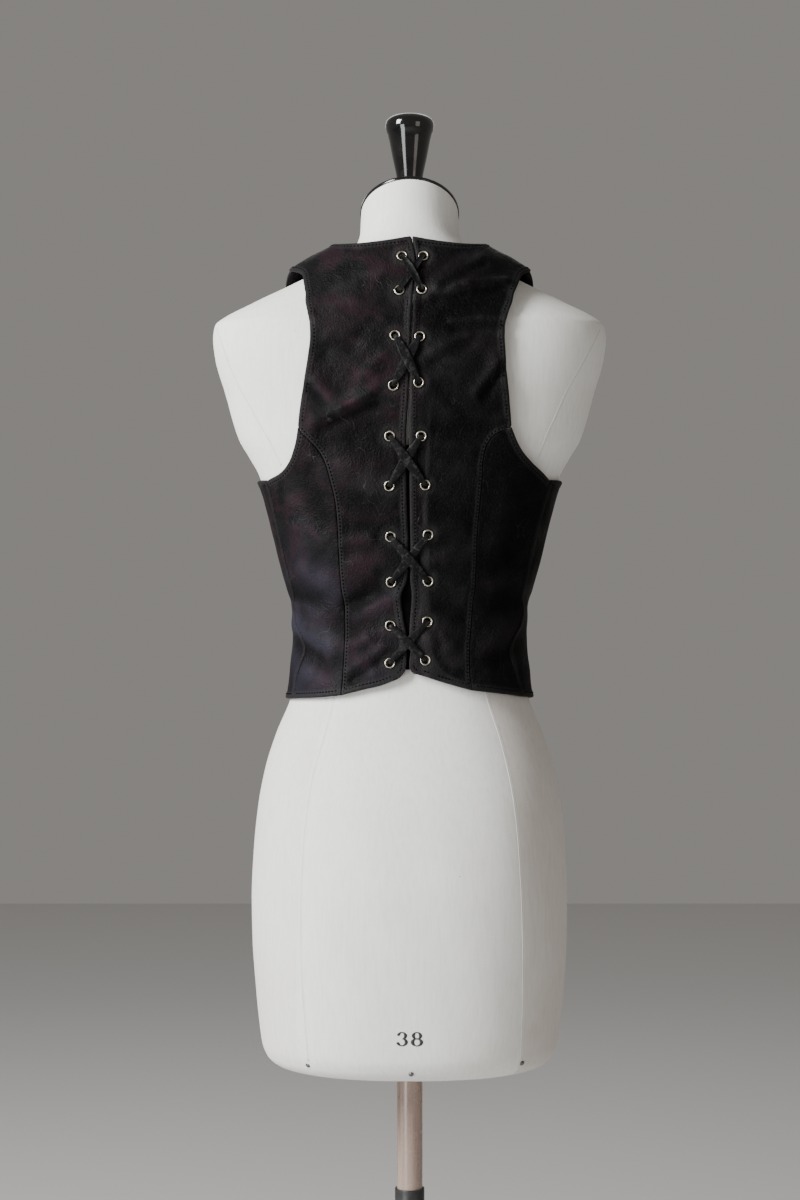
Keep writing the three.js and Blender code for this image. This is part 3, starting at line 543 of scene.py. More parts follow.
def drawn_through(points, steps):
    """A centripetal Catmull-Rom curve through points, in equal steps between each two: a cubic whose ends
    lean by the nearby chords, weighted by the square roots of their lengths. Numbers after the first three
    follow."""
    points = np.asarray(points, float)
    chain = np.vstack([2 * points[0] - points[1], points, 2 * points[-1] - points[-2]])
    knots = np.linalg.norm(np.diff(chain[:, :3], axis=0), axis=1)[:, None] ** 0.5
    d0, d1, d2 = knots[:-2], knots[1:-1], knots[2:]
    x0, x1, x2, x3 = chain[:-3], chain[1:-2], chain[2:-1], chain[3:]
    lean_in = ((x1 - x0) / d0 - (x2 - x0) / (d0 + d1) + (x2 - x1) / d1) * d1
    lean_out = ((x2 - x1) / d1 - (x3 - x1) / (d1 + d2) + (x3 - x2) / d2) * d1
    t = np.linspace(0, 1, steps + 1)[:-1, None]
    spans = ((2 * t ** 3 - 3 * t ** 2 + 1) * x1[:, None] + (t ** 3 - 2 * t ** 2 + t) * lean_in[:, None]
             + (3 * t ** 2 - 2 * t ** 3) * x2[:, None] + (t ** 3 - t ** 2) * lean_out[:, None])
    return np.vstack([spans.reshape(-1, points.shape[1]), points[-1:]])


def run_of(path):
    """How far each point of a path lies along it."""
    return np.concatenate([[0], np.cumsum(np.linalg.norm(np.diff(path, axis=0), axis=1))])


def curve(points, fractions):
    """The same curve read at fractions of its length."""
    path = drawn_through(points, 32)
    run = run_of(path)
    return np.stack([np.interp(np.asarray(fractions) * run[-1], run, column) for column in path.T], -1)


def unit(vectors):
    """Vectors made one unit long."""
    return vectors / np.maximum(np.linalg.norm(vectors, axis=-1, keepdims=True), 1e-9)


def swept(places, across, out, section):
    """A closed section carried along places: each point is the place plus across times the section's first
    number plus out times its second."""
    section = np.asarray(section, float)
    section = np.broadcast_to(section, (len(places), *section.shape[-2:]))
    return stacked(places[:, None] + across[:, None] * section[..., :1] + out[:, None] * section[..., 1:])


felled_seam = np.array([
    [1.6, -0.3], [1.5, 0.03], [1.0, 0.1], [0.5, 0.08], [0.1, -0.1], [-0.3, 0.08], [-0.9, 0.1], [-1.5, 0.03],
    [-1.6, -0.3],
])


def joined(parts):
    """Several bodies as one set of points and faces."""
    points, faces, start = [], [], 0
    for some, these in parts:
        points.append(some)
        faces.append(np.where(these < 0, -1, these + start))
        start += len(some)
    return np.vstack(points), np.vstack(faces)


def cover_seam(side, angle, z):
    """A felled seam along places on the form: the section lies across the line, on the cloth."""
    places, out = on_form(side, angle, z)
    places = padded(places, out, z)
    travel = unit(np.gradient(places, axis=0))
    return swept(places, np.cross(out, travel), out, felled_seam)


along_seam = np.linspace(0, 1, 120)
gore_seams = [
    [(-72, 1040), (-77.6, 984), (-86.5, 948), (-98.5, 905.5), (-105, 862), (-108.8, 806), (-109.8, 756),
     (-108.5, 697), (-105, 654), (-102.5, 620)],
    [(72, 1040), (78, 989), (92, 944), (102, 901), (108, 856), (112, 790), (114, 723), (114, 674),
     (112.4, 621)],
    [(-200, 1366), (-195, 1352), (-185, 1324), (-177, 1306), (-159, 1273), (-143, 1245), (-132, 1222)],
    [(197, 1364), (188, 1346), (176, 1324), (162, 1300), (150, 1273.6), (141, 1254), (131.5, 1230)],
]
seam_parts = []
for route in gore_seams:
    x, z = curve(route, along_seam).T
    seam_parts.append(cover_seam(*on_back(form_rings, x, z)))
for mirrored in (-1, 1):
    for route in (
        [(70, 1040), (80, 975), (93, 925), (101, 870), (104, 800), (104, 710), (99, 621)],
        [(198, 1364), (188, 1335), (176, 1305), (161, 1270), (147, 1240), (138, 1216)],
    ):
        x, z = curve(route, along_seam).T
        seam_parts.append(cover_seam(mirrored, -angle_at(form_rings, x, z), z))
    for top, foot, steps in ((1460, 1366, 120), (1362, 612, 240)):
        seam_parts.append(cover_seam(mirrored, 0.0, np.linspace(top, foot, steps)))
dark_across = [0, 0, 0, 0.3, 1, 0.3, 0, 0, 0]
stitched = [np.pad(np.tile(dark_across, (len(points) - 2) // 9), (0, 2)) for points, faces in seam_parts]
seam_marks = {"stitched": np.concatenate(stitched)}
solid("cover_seams", *joined(seam_parts), cotton_cover, [], "form_cloth", marks=seam_marks)

# The size is printed in black: figures with thick sides, thin tops and round ends, 14 mm tall.
printed_black = finish(
    "printed_black", dappled(700.0, [(0.3, (0.012, 0.012, 0.013)), (0.7, (0.035, 0.034, 0.032))]),
    varied(200.0, 0.6, 0.8), woven, 0.3, 0.0003,
)


def printed(across, up, height):
    """Places on the form's lower back at a distance across and up from the figures' middle."""
    x, z = 1.14 * across - 0.7, 1.05 * up + 647.5
    base, out = on_form(*on_back(form_rings, x, z))
    return padded(base, out, z) + out * np.asarray(height)[..., None]


def figure_stroke(centre, outer, inner, start, end, height=0.3):
    """A stroke between two ellipses about one centre, from a start to an end angle in degrees."""
    turn = np.radians(np.linspace(start, end, 40))[:, None]
    width, rise = np.array([inner, outer, outer, inner]).T
    across = centre[0] + width * np.cos(turn)
    up = centre[1] + rise * np.sin(turn)
    return stacked(printed(across, up, np.broadcast_to([-0.2, -0.2, height, height], across.shape)))


solid("printed_size", *joined([
    figure_stroke((-6.6, 3.2), (4.4, 3.7), (1.7, 2.85), 158, -84),
    figure_stroke((-6.6, -3.0), (5.1, 4.0), (2.2, 3.05), 84, -160, 0.32),
    figure_stroke((-9.7, 4.2), (1.2, 1.2), (0.1, 0.1), 0, 360, 0.34),
    figure_stroke((-10.2, -4.2), (1.3, 1.3), (0.1, 0.1), 0, 360, 0.34),
    figure_stroke((6.4, 3.2), (4.5, 3.7), (1.8, 2.85), 0, 360),
    figure_stroke((6.4, -3.1), (5.4, 4.0), (2.4, 3.05), 0, 360, 0.32),
]), printed_black, [], "form_cloth")

# Three steel tacks with domed heads hold the cover's lower edge.
brushed_steel = finish(
    "brushed_steel", dappled(300.0, [(0.3, (0.1, 0.1, 0.1)), (0.7, (0.2, 0.195, 0.19))]),
    varied(500.0, 0.25, 0.45), grained(900.0), 0.1, 0.0002, Metallic=1.0,
)


def standing(profile, sides, place, out):
    """A small turned piece whose axis points out at a place: rings of each radius at each height."""
    across = unit(np.cross(out, np.array([0.0, 0.0, 1.0])))
    beside = np.cross(out, across)
    turn = np.linspace(0, 2 * np.pi, sides, endpoint=False)[None, :, None]
    r, h = np.array(profile, float).T
    r, h = np.maximum(r, 0.01)[:, None, None], h[:, None, None]
    return place + r * (np.cos(turn) * across + np.sin(turn) * beside) + h * out


head_turn = np.linspace(0, np.pi / 2, 9)
dome = np.stack([2.7 * np.cos(head_turn), 0.4 + 1.8 * np.sin(head_turn)], 1)
tack_head = np.vstack([[(0, 0.3), (2.4, 0.3)], dome])
tacks = columns("x z sink", [[-103, 615, 0.7], [1, 611, 0], [113, 616, 0.3]])
spots, outs = on_form(*on_back(form_rings, tacks["x"], tacks["z"]))
for name, spot, out, sink in zip(("left", "centre", "right"), spots, outs, tacks["sink"]):
    head = stacked(standing(tack_head, 24, spot - sink * out, out))
    solid("steel_tack_" + name, *head, brushed_steel, ["tack_" + name], "tack_steel")

# ---- Neck plate and finial ----
# The neck is cut off on a slant and closed by a black lacquered plate. A turned wooden knob in the same
# glossy black lacquer is screwed on it.


def lacquered(tree, where):
    """Black lacquer, a little lighter where it is rubbed."""
    return ramp(tree, marked(tree, where, 50.0), [(0, (0.002, 0.002, 0.0022)), (1, (0.004, 0.004, 0.004))])


black_lacquer = finish(
    "black_lacquer", lacquered, handled(70.0, 0.1, 0.22), grained(30.0, 1.0), 0.04, 0.001,
    Coat_Weight=0.6, Coat_Roughness=0.06,
)
slant = unit(np.array([0, neck_slant, 1]))
plate_rings = np.stack([
    level_ring(neck_top, scale) + slant * rise
    for scale, rise in (
        (0.3, 0.3), (1, 0.3), (1.012, 0.5), (1.018, 0.9), (1.018, 3.3), (1.012, 3.65), (1, 3.8), (0.3, 3.8),
    )
])
solid("lacquered_plate", *stacked(plate_rings), black_lacquer, ["neck_plate"], "black_lacquer", 50)
knob_profile = np.vstack([
    [(0, 1470), (10, 1470), (21, 1470), (21, 1483)],
    curve([
        (21, 1494), (20.6, 1497.5), (18, 1502), (14.5, 1506.5), (12.5, 1516), (14, 1529), (18, 1548),
        (22.5, 1570), (25, 1578), (25.4, 1583), (23.5, 1588), (17, 1592), (8, 1593.6), (0, 1594),
    ], np.linspace(0, 1, 90)),
])
knob = turned_on_lathe(knob_profile, 96)
on_plate = 1491.6376 - neck_slant * knob[..., 1]
knob[..., 2] = np.maximum(knob[..., 2], on_plate)
solid("turned_finial", *stacked(knob), black_lacquer, ["finial"], "black_lacquer", 50)

# ---- Leather panels ----
# Black cow suede 1.6 mm thick, cut in six panels. Free edges are turned in and stitched down 4.8 mm from the
# fold, seams are pressed open, and the back panels are topstitched along the princess seams.
vest_rings = ring_table([
    [940, 144, 116, 108], [965, 136, 106, 102], [985, 129, 100, 98.5], [1010, 126, 94, 97],
    [1040, 123, 90, 96], [1065, 122.5, 88.5, 95.5], [1082, 124.5, 89, 96.5], [1095, 129, 90, 98.5],
    [1126, 137.5, 93, 104], [1158, 145.3, 97, 110], [1184, 152, 100, 115], [1214, 162, 103.5, 119.5],
    [1252, 184, 105.5, 120], [1302, 199, 105.5, 113], [1350, 211, 99, 100], [1370, 206, 95, 93],
    [1385, 193, 91, 88], [1400, 168, 86, 83], [1410, 150, 82.5, 80], [1422, 134, 77.5, 76.5],
    [1431, 124, 74, 74], [1440, 110, 71, 71.5], [1450, 90, 68.5, 69.5], [1458, 74, 67, 68],
    [1468, 60, 66, 67],
])
vest_bust = {"rise": 16, "apart": 76, "across": 52, "height": 1222, "along": 56}
leather = 1.6
seam_gap = 0.3

# Folds of the back and of the front: the two ends of each (x, z), half its width, and the height of the ridge
# or, where negative, of the trough.
back_folds = [
    (-35, 1292, -92, 1268, 15, 2.2), (-40, 1262, -88, 1240, 13, -1.6), (-98, 1345, -70, 1296, 13, -1.8),
    (34, 1392, 76, 1432, 14, 2), (38, 1368, 92, 1386, 13, -1.6), (36, 1330, 84, 1352, 16, 1.8),
    (-42, 1094, -66, 1058, 13, -1.8), (34, 1046, 48, 1022, 15, 2), (-120, 1060, -84, 1036, 12, 2),
    (114, 1066, 84, 1040, 12, 2), (-128, 1092, -96, 1082, 11, -1.6), (122, 1088, 92, 1080, 11, -1.6),
    (-88, 1257, -37, 1280, 8, -3.5), (-84, 1269, -40, 1291, 6, 3.3), (-61, 1157, -26, 1150, 9, -1.74),
    (-92, 1368, -60, 1388, 8, 1.89), (-84, 1336, -52, 1350, 9, -1.74), (-70, 1222, -44, 1206, 8, 1.45),
    (-66, 1186, -34, 1178, 10, -1.45), (-62, 1118, -30, 1122, 9, 1.74), (-60, 1024, -38, 1012, 7, 1.89),
    (-104, 1212, -90, 1160, 8, -1.45), (-122, 1186, -104, 1150, 9, 1.89), (-112, 1118, -88, 1104, 7, 1.74),
    (-118, 1044, -92, 1022, 8, -2.03), (-104, 1010, -84, 1000, 7, 1.74), (47, 1403, 97, 1409, 6, 2.03),
    (27, 1252, 78, 1255, 8, -2.6), (24, 1222, 56, 1212, 9, 1.74), (30, 1176, 62, 1164, 9, -1.45),
    (26, 1126, 60, 1132, 8, 1.45), (30, 1076, 54, 1066, 8, -1.89), (98, 1190, 84, 1140, 9, 1.74),
    (118, 1176, 100, 1128, 8, -1.74), (108, 1110, 86, 1100, 7, 1.74), (112, 1040, 86, 1022, 8, -1.89),
    (28, 1004, 54, 1010, 6, -1.45), (-84, 1240, -36, 1244, 15, -1.9), (-64, 1082, -40, 1086, 6, -1.5),
    (-74, 1400, -30, 1420, 6, 1.3), (30, 1298, 62, 1262, 6, -1.4), (84, 1330, 96, 1290, 6, 1.3),
    (26, 1050, 44, 1040, 5, 1.3), (24, 1034, 40, 1014, 5, -1.2), (-44, 1046, -28, 1030, 4, 1.4),
    (-55, 1066, -13, 1088, 7, 2.4), (-66, 1076, -30, 1096, 6, -1.7), (-63, 1012, -27, 1034.5, 5, 2.2),
    (-58, 1003, -28, 1024, 4.5, -1.9), (-62, 1036, -27, 1052, 5, 1.8), (14, 1047, 24, 1040, 4, 1.7),
    (27, 1051, 32, 1036, 3.5, -1.4), (-48, 1312, -28, 1330, 6, 1.6), (27, 1404, 72, 1434, 4.2, 2.6),
    (33, 1400, 76, 1427, 4, -2), (25, 1411, 58, 1436, 4, 1.7), (27, 1398, 58, 1404, 4, 2.4),
    (58, 1404, 97, 1410, 4, 2.2), (27, 1390, 94, 1402, 5, -2.6), (15, 1378, 88, 1381, 11, -1.8),
    (43, 1367, 72, 1371, 4, 2.2), (72, 1371, 96, 1370, 4, 1.8), (45, 1359, 94, 1363, 4.5, -1.8),
    (23, 1334, 58, 1351, 5, 2.4), (26, 1325, 60, 1342, 5, -1.8), (66, 1293, 89, 1324, 5, 3),
    (74, 1289, 96, 1318, 5, -2.2), (-97, 1305, -70, 1277, 4.5, 3), (-103, 1299, -76, 1270, 5, -1.8),
    (-90, 1268, -40, 1292, 5, 1.6), (60, 1236, 30, 1242, 6, 1.6), (24, 1150, 52, 1160, 6, 1.4),
    (28, 1106, 58, 1098, 6, 1.4), (-66, 1352, -40, 1342, 5, 1.5), (-92, 1374, -66, 1380, 6, -1.6),
    (-70, 1140, -40, 1148, 6, 1.5), (-64, 1204, -34, 1196, 6, 1.4), (-110, 1160, -88, 1148, 6, 1.5),
    (-118, 1080, -96, 1070, 6, 1.6),
]
front_folds = [
    (-118, 1062, -70, 1052, 9, -1.3), (-112, 1084, -64, 1074, 8, 1.2), (-100, 1040, -54, 1030, 8, 1.0),
    (-96, 1180, -48, 1150, 14, 1.6), (-60, 1128, -22, 1112, 12, -1.1), (-112, 1240, -84, 1214, 10, -1.2),
    (-70, 1330, -40, 1290, 13, 1.4), (-88, 1392, -70, 1352, 9, -1.0), (-40, 1262, -10, 1236, 12, -0.9),
    (-50, 1012, -20, 996, 10, 1.0),
    (114, 1070, 72, 1056, 8, -1.4), (118, 1090, 60, 1082, 9, 1.0), (104, 1046, 62, 1034, 7, 0.9),
    (100, 1172, 40, 1156, 13, 1.3), (64, 1122, 18, 1120, 12, -1.2), (110, 1246, 90, 1208, 9, -1.1),
    (64, 1338, 34, 1286, 12, 1.6), (92, 1386, 74, 1344, 10, -1.0), (44, 1250, 14, 1240, 11, -0.8),
    (56, 1004, 24, 1000, 9, 1.1),
]


side_fade = 14


def fold_height(points):
    """How far the folds lift the leather: for each, its height times a bell curve of the distance from the
    line between its ends. Those of the back and of the front fade out at the sides."""
    x, y, z = np.moveaxis(points, -1, 0)
    total = np.zeros(x.shape)
    for folds, facing in ((back_folds, -1), (front_folds, 1)):
        share = np.clip(facing * y / side_fade, 0, 1)
        here = np.zeros(x.shape)
        for x1, z1, x2, z2, width, height in folds:
            dx, dz = x2 - x1, z2 - z1
            t = np.clip(((x - x1) * dx + (z - z1) * dz) / (dx * dx + dz * dz), 0, 1)
            off = np.hypot(x - x1 - t * dx, z - z1 - t * dz) / width
            here += height * np.exp(-off ** 2)
        total += here * share ** 2 * (3 - 2 * share)
    return total


def on_vest(side, angle, z):
    """The leather's outer face with its folds, and the direction straight out of it."""
    side, angle, z = np.broadcast_arrays(side, angle, z)
    out = straight_out(vest_rings, vest_bust, side, angle, z)
    points = on_rings(vest_rings, vest_bust, side, angle, z)
    return points + out * fold_height(points)[..., None], out


def edge(points, fractions):
    """Places (angle, height) along a smooth edge, on a plane where one degree is two millimetres."""
    return curve(np.array(points, float) * (2, 1), fractions) / (2, 1)


def long_edge(parts, rows):
    """An edge of several smooth parts, each with its number of rows."""
    result, start = np.zeros((len(rows), 2)), 0
    for points, spans in parts:
        inside = (rows >= start) & (rows <= start + spans)
        result[inside] = edge(points, (rows[inside] - start) / spans)
        start += spans
    return result


near_edge = np.array([0, 0.25, 0.6, 1.0, 1.5, 2.2, 2.9, 3.6, 4.3, 4.8, 5.4, 6.2, 7.2, 8.3, 9.8])


def spread(length, pitch):
    """Fractions of a length, close together near both ends, where the edge is rolled and stitched."""
    start = near_edge[-1] + 2
    middle = np.linspace(start, length - start, max(2, round((length - 2 * start) / pitch)))
    return np.concatenate([near_edge, middle, length - near_edge[::-1]]) / length


def net(lower, upper, inner, outer, u, v):
    """Fills the net between four edges, a Coons patch: the mix of the two sides plus the mix of the two ends,
    less the mix of the four corners."""
    u, v = u[None, :, None], v[:, None, None]
    sides = (1 - u) * inner[:, None] + u * outer[:, None]
    ends = (1 - v) * lower[None] + v * upper[None]
    corners = ((1 - v) * ((1 - u) * lower[0] + u * lower[-1]) + v * ((1 - u) * upper[0] + u * upper[-1]))
    return sides + ends - corners


# How an edge is shaped: distances from it, heights there, how worn it is and how far in. It is turned in and
# stitched down, sewn and topstitched, sewn over a thick allowance, or just sewn.
turned_edge = (
    [0, 0.3, 0.8, 1.5, 2.6, 3.9, 4.8, 5.6, 6.4, 7.4, 8.4, 10],
    [-0.95, -0.3, 0.3, 0.66, 0.82, 0.7, 0.34, 0.54, 0.5, 0.12, -0.12, 0], 1, 6.8,
)
topstitched_seam = (
    [0, 0.25, 0.6, 1.2, 2.0, 2.9, 3.7, 4.6, 6, 8],
    [-1.4, -0.4, 0.2, 0.46, 0.44, 0.16, 0.34, 0.24, 0.04, 0], 0.9, 4.6,
)
ridged_seam = ([0, 0.4, 0.9, 1.8, 3.2, 4.6, 6.5, 9], [-1.9, -0.7, 0.5, 1.2, 1.25, 0.7, 0.2, 0], 0.5, 4.4)
plain_seam = ([0, 0.25, 0.6, 1.2, 2.4, 4, 7], [-1.4, -0.5, -0.1, 0.1, 0.14, 0.06, 0], 0, 4)
eyelet_rows = columns("z_left left z_right right", [
    [1435, 8.2, 1435, 13.6], [1398, 10.9, 1399, 11.8], [1351, 15.2, 1350, 9.8], [1300, 16.9, 1303, 8.6],
    [1249, 20.6, 1249, 11.2], [1199, 21, 1200, 15.2], [1148, 19.9, 1150, 18.1], [1102, 19.2, 1103, 18.2],
    [1058, 20, 1062, 17.5], [1020, 20.4, 1023, 15.4],
])
eyelet_places = {}
for side, name in ((-1, "left"), (1, "right")):
    eyelet_places[name] = on_vest(*on_back(vest_rings, side * eyelet_rows[name], eyelet_rows["z_" + name]))

# Each eyelet presses the leather flat under its flange and raises a soft ring round it that is rubbed grey.
flattened, ring_radius, rubbed_radius = 6.5, 9, 8.2


def distances_in(points):
    """How far each point of a net lies from its first column: the length of its row up to there, times the
    sine of the angle between the row and the column."""
    steps = np.linalg.norm(np.diff(points, axis=1), axis=2)
    run = np.pad(np.cumsum(steps, axis=1), ((0, 0), (1, 0)))
    along = unit(np.gradient(points[:, 0], axis=0))
    inward = unit(points[:, 3] - points[:, 0])
    return run * np.linalg.norm(np.cross(along, inward), axis=1)[:, None]


def from_edges(points):
    """Distances from the inner, outer, lower and upper edge of a net."""
    turned = points.transpose(1, 0, 2)
    return (distances_in(points), distances_in(points[:, ::-1])[:, ::-1], distances_in(turned).T,
            distances_in(turned[:, ::-1])[:, ::-1].T)


def wall(outer, inner):
    """Points and faces of a closed wall between two nets of the same size."""
    count, across = outer.shape[:2]
    total = count * across
    face = lattice(count, across, False)
    index = np.arange(total).reshape(count, across)
    border = np.concatenate([index[0, :-1], index[:-1, -1], index[-1, :0:-1], index[:0:-1, 0]])
    after = np.roll(border, -1)
    rim = np.stack([after, border, border + total, after + total], 1)
    points = np.vstack([outer.reshape(-1, 3), inner.reshape(-1, 3)])
    return points, np.vstack([face, face[:, ::-1] + total, rim])


def panel(name, side, grid, rows, edges, replaced, eyelets=(), proud=0):
    """A wall of leather over a net of (angle, height). edges gives the inner, outer, lower and upper edge's
    shapes as (shape below a row, that row, shape above it). proud lifts the upper part of the inner edge, or
    lowers it where that edge lies under the other one and there lightens its rim only a quarter as much."""
    points, out = on_vest(side, grid[..., 0], grid[..., 1])
    x, y, z = np.moveaxis(points, -1, 0)
    ripple = (0.16 * np.sin(x / 6.1 + 1.9 * np.sin(z / 17)) * np.sin(z / 8.3)
              + 0.12 * np.sin(x / 3.7 - z / 5.2 + 1.3 * np.sin(y / 9)))
    distance = from_edges(points)
    high, low, rim, pressed = np.zeros((4, *points.shape[:2]))
    for d, (below, row, above) in zip(distance, edges):
        share = np.clip((rows[:, None] - row) / 0.3, 0, 1)
        shape, worn, reach = 0, 0, 0
        for part, (distances, heights, wear, far) in ((1 - share, below), (share, above)):
            shape = shape + part * np.interp(d, distances, heights)
            worn, reach = worn + part * wear, reach + part * far
        high, low = np.maximum(high, shape), np.minimum(low, shape)
        if proud < 0 and d is distance[0]:
            worn = worn * np.interp(z, [1290, 1325, 1430, 1448], [1, 0.25, 0.25, 1])
        turned_in = 0.29 * (1 - np.tanh((d - reach) / 0.8))
        rim = np.maximum(rim, worn * np.maximum(np.exp(-(d / 1.1) ** 2), turned_in))
    apart = np.min(distance, axis=0)
    relief = high + low + ripple * np.clip((apart - 4) / 5, 0, 1)
    relief += proud * np.interp(z, [1320, 1360, 1430, 1455], [0, 1, 1, 0]) * np.exp(-(distance[0] / 3.3) ** 2)
    for spot in (eyelet_places[eyelets][0] if eyelets else ()):
        r = np.linalg.norm(points - spot, axis=2)
        relief = np.where(r < flattened, np.minimum(relief, 0.3), relief)
        relief += 0.3 * np.exp(-((r - ring_radius) / 2.4) ** 2) - 0.35 * np.exp(-(r / 5) ** 2)
        ring = np.interp(spot[2], [1400, 1435], [1, 2]) * np.exp(-((r - rubbed_radius) / 2.6) ** 2)
        pressed = np.maximum(pressed, ring)
    shift = np.zeros(points.shape)
    for end, inside in ((0, 2), (-1, -3)):
        shift[:, end] += seam_gap / 2 * unit(points[:, inside] - points[:, end])
        shift[end] += seam_gap / 2 * unit(points[inside] - points[end])
    faces = wall(points + out * relief[..., None] + shift, points - leather * out + shift)
    marks = {"rim": rim, "pressed": pressed, "raised": np.tanh(fold_height(points) / 1.7)}
    marks = {label: np.tile(values.ravel(), 2) for label, values in marks.items()}
    piece = solid(name, *faces, suede, [replaced], "suede", marks=marks)
    a, b, c, d = points[:-1, :-1], points[:-1, 1:], points[1:, 1:], points[1:, :-1]
    area = np.linalg.norm(np.cross(c - a, d - b), axis=-1).sum() / 2 * 1e-6
    return piece, points, out, area


nap, nap_in, nap_out = group(
    "suede nap and painted light", [("Vector", "Vector", None), ("Smoothness", "Float", 0.0), ("Raised", "Float", 0.0)],
    [("Colour", "Color"), ("Height", "Float")],
)
place = nap_in.outputs["Vector"]
axes = node(nap, "SeparateXYZ", Vector=place).outputs
across, height = axes["X"], axes["Z"]
# The left half is coloured lighter and the right half darker: painted light from the key lamp on the left and
# painted shade on the right. The maroon and slate patches below also show only on the lit left.
lit_left_side = between(nap, across, -0.02, 0.025, 1, 0.12)
cloudy = noise(nap, place, 34.0, 6.0, swirl=0.5)
lit_left_dye = ramp(nap, cloudy, [
    (0.34, (0.001, 0.001, 0.001)), (0.48, (0.0026, 0.0024, 0.0025)), (0.6, (0.0052, 0.0046, 0.0049)),
    (0.74, (0.0096, 0.0086, 0.009)),
])
shaded_right_dye = ramp(nap, cloudy, [
    (0.34, (0.0009, 0.0009, 0.0009)), (0.5, (0.0017, 0.0016, 0.0016)), (0.66, (0.0038, 0.0036, 0.0035)),
])
dye_and_painted_light = blend(nap, "MIX", lit_left_side, shaded_right_dye, lit_left_dye)
blotched = between(nap, noise(nap, place, 33.0, 4.0, shift=(4, 2, 7), swirl=0.6), 0.38, 0.63)
region = between(nap, noise(nap, place, 10.0, 3.0, shift=(2, 2, 5)), 0.4, 0.58, 0.55, 1)
maroon = maths(nap, "MULTIPLY", maths(nap, "MULTIPLY", blotched, region), lit_left_side)
dye_and_painted_light = blend(nap, "MIX", maroon, dye_and_painted_light, (0.0098, 0.0044, 0.0063, 1))
low_down = between(nap, height, 1.06, 1.17, 1, 0.1)
far_left = between(nap, across, -0.085, -0.05, 1, 0.4)
slate = between(nap, noise(nap, place, 20.0, 5.0, shift=(1, 8, 3), swirl=0.4), 0.38, 0.62, 0.2, 0.95)
for share in (low_down, far_left, lit_left_side):
    slate = maths(nap, "MULTIPLY", slate, share)
dye_and_painted_light = blend(nap, "MIX", slate, dye_and_painted_light, (0.0094, 0.0088, 0.0134, 1))
# Painted shade under the chest folds: between 1.12 and 1.24 m up, right of the far left side, the colour is
# 0.6 times as dark.
above = between(nap, height, 1.24, 1.29, 0.6, 1)
below = between(nap, height, 1.08, 1.12, 1, 0.6)
aside = between(nap, across, -0.08, -0.064, 1, 0.6)
dye_and_painted_light = blend(nap, "MULTIPLY", 1.0, dye_and_painted_light, maths(nap, "MAXIMUM", maths(nap, "MAXIMUM", above, below), aside))
# Painted highlight on the fold crests and painted shade in the troughs, from the folds' height.
crest_light_trough_shade = between(nap, nap_in.outputs["Raised"], -1, 1, 0.25, 2.1)
dye_and_painted_light = blend(nap, "MULTIPLY", 1.0, dye_and_painted_light, crest_light_trough_shade)
fibres = noise(nap, place, 950.0, 3.0)
dusty = between(nap, fibres, 0.5, 0.7, 0, 0.3)
dye_and_painted_light = blend(nap, "MIX", dusty, dye_and_painted_light, (0.026, 0.023, 0.023, 1))
scratched = noise(nap, place, 30.0, 2.0, (1, 1, 0.45), (9, 3, 1))
thin = between(nap, maths(nap, "PINGPONG", scratched, 0.035), 0.0, 0.0018, 1, 0)
rare = between(nap, noise(nap, place, 26.0, 2.0, shift=(2, 6, 4)), 0.56, 0.66, 0, 0.38)
dye_and_painted_light = blend(nap, "MIX", maths(nap, "MULTIPLY", thin, rare), dye_and_painted_light, (0.085, 0.08, 0.078, 1))
dye_and_painted_light = blend(nap, "MIX", nap_in.outputs["Smoothness"], dye_and_painted_light, (0.026, 0.0245, 0.0245, 1))
nap.links.new(dye_and_painted_light, nap_out.inputs["Colour"])
pebbles = node(nap, "TexVoronoi", {"feature": "SMOOTH_F1"}, Vector=place, Scale=520.0, Smoothness=0.6)
grain = maths(nap, "MULTIPLY_ADD", fibres, 0.5, pebbles.outputs["Distance"])
grain = maths(nap, "MULTIPLY_ADD", noise(nap, place, 95.0, 5.0), 2.6, grain)
nap.links.new(grain, nap_out.inputs["Height"])


def on_edges(tree):
    """How worn a place is: its free edges most, and the rings pressed by eyelets a little."""
    ring = maths(tree, "MULTIPLY", mark(tree, "pressed"), 0.3)
    return maths(tree, "MAXIMUM", ring, maths(tree, "MULTIPLY", mark(tree, "rim"), 0.7))


def napped(output):
    """The suede's colour or height. The folds' crests are coloured lighter and the troughs darker: painted
    highlight on the crests and painted shade in the troughs.
    """
    return lambda tree, where: node(
        tree, "Group", {"node_tree": nap}, Vector=where, Smoothness=on_edges(tree),
        Raised=mark(tree, "raised"),
    ).outputs[output]


suede = finish(
    "suede", napped("Colour"), varied(28.0, 0.52, 0.78, 4.0, 0.35), napped("Height"), 0.55, 0.0009,
    Sheen_Weight=0.02, Sheen_Roughness=0.4, Sheen_Tint=(0.8, 0.75, 0.76, 1), Specular_IOR_Level=0.065,
)

laced_x = columns("z left right", [
    [1029, -3, 0], [1050, -3.5, -0.8], [1069, -7, 0.2], [1088, -8.8, 1.6], [1104, -3, 0], [1137, -1.4, 0.2],
    [1180, -3, -0.4], [1244, -4, -1.2], [1292, -1.6, -0.6], [1342, 0.4, 1.2], [1376, 1.6, 2.4],
    [1405, 3.6, 4.2], [1434, 5.7, 6.0], [1456.5, 1.7, 1.9],
])
laced_corner = {
    "left": [(-13, 1004), (-8.5, 1007.5), (-4.6, 1013), (-3.4, 1020)],
    "right": [(8, 1009), (3.2, 1010), (-0.2, 1013.5), (-1, 1020)],
}
princess_x = columns("z left right", [
    [985, 70, 63], [1011, 68, 60.5], [1038, 66.5, 60.5], [1065, 67, 63], [1092, 69.5, 65.5], [1147, 73, 68],
    [1183, 76, 71], [1209, 82, 73], [1226, 88, 74], [1240, 97.5, 77.5], [1251, 107.5, 86], [1259, 114, 103],
])
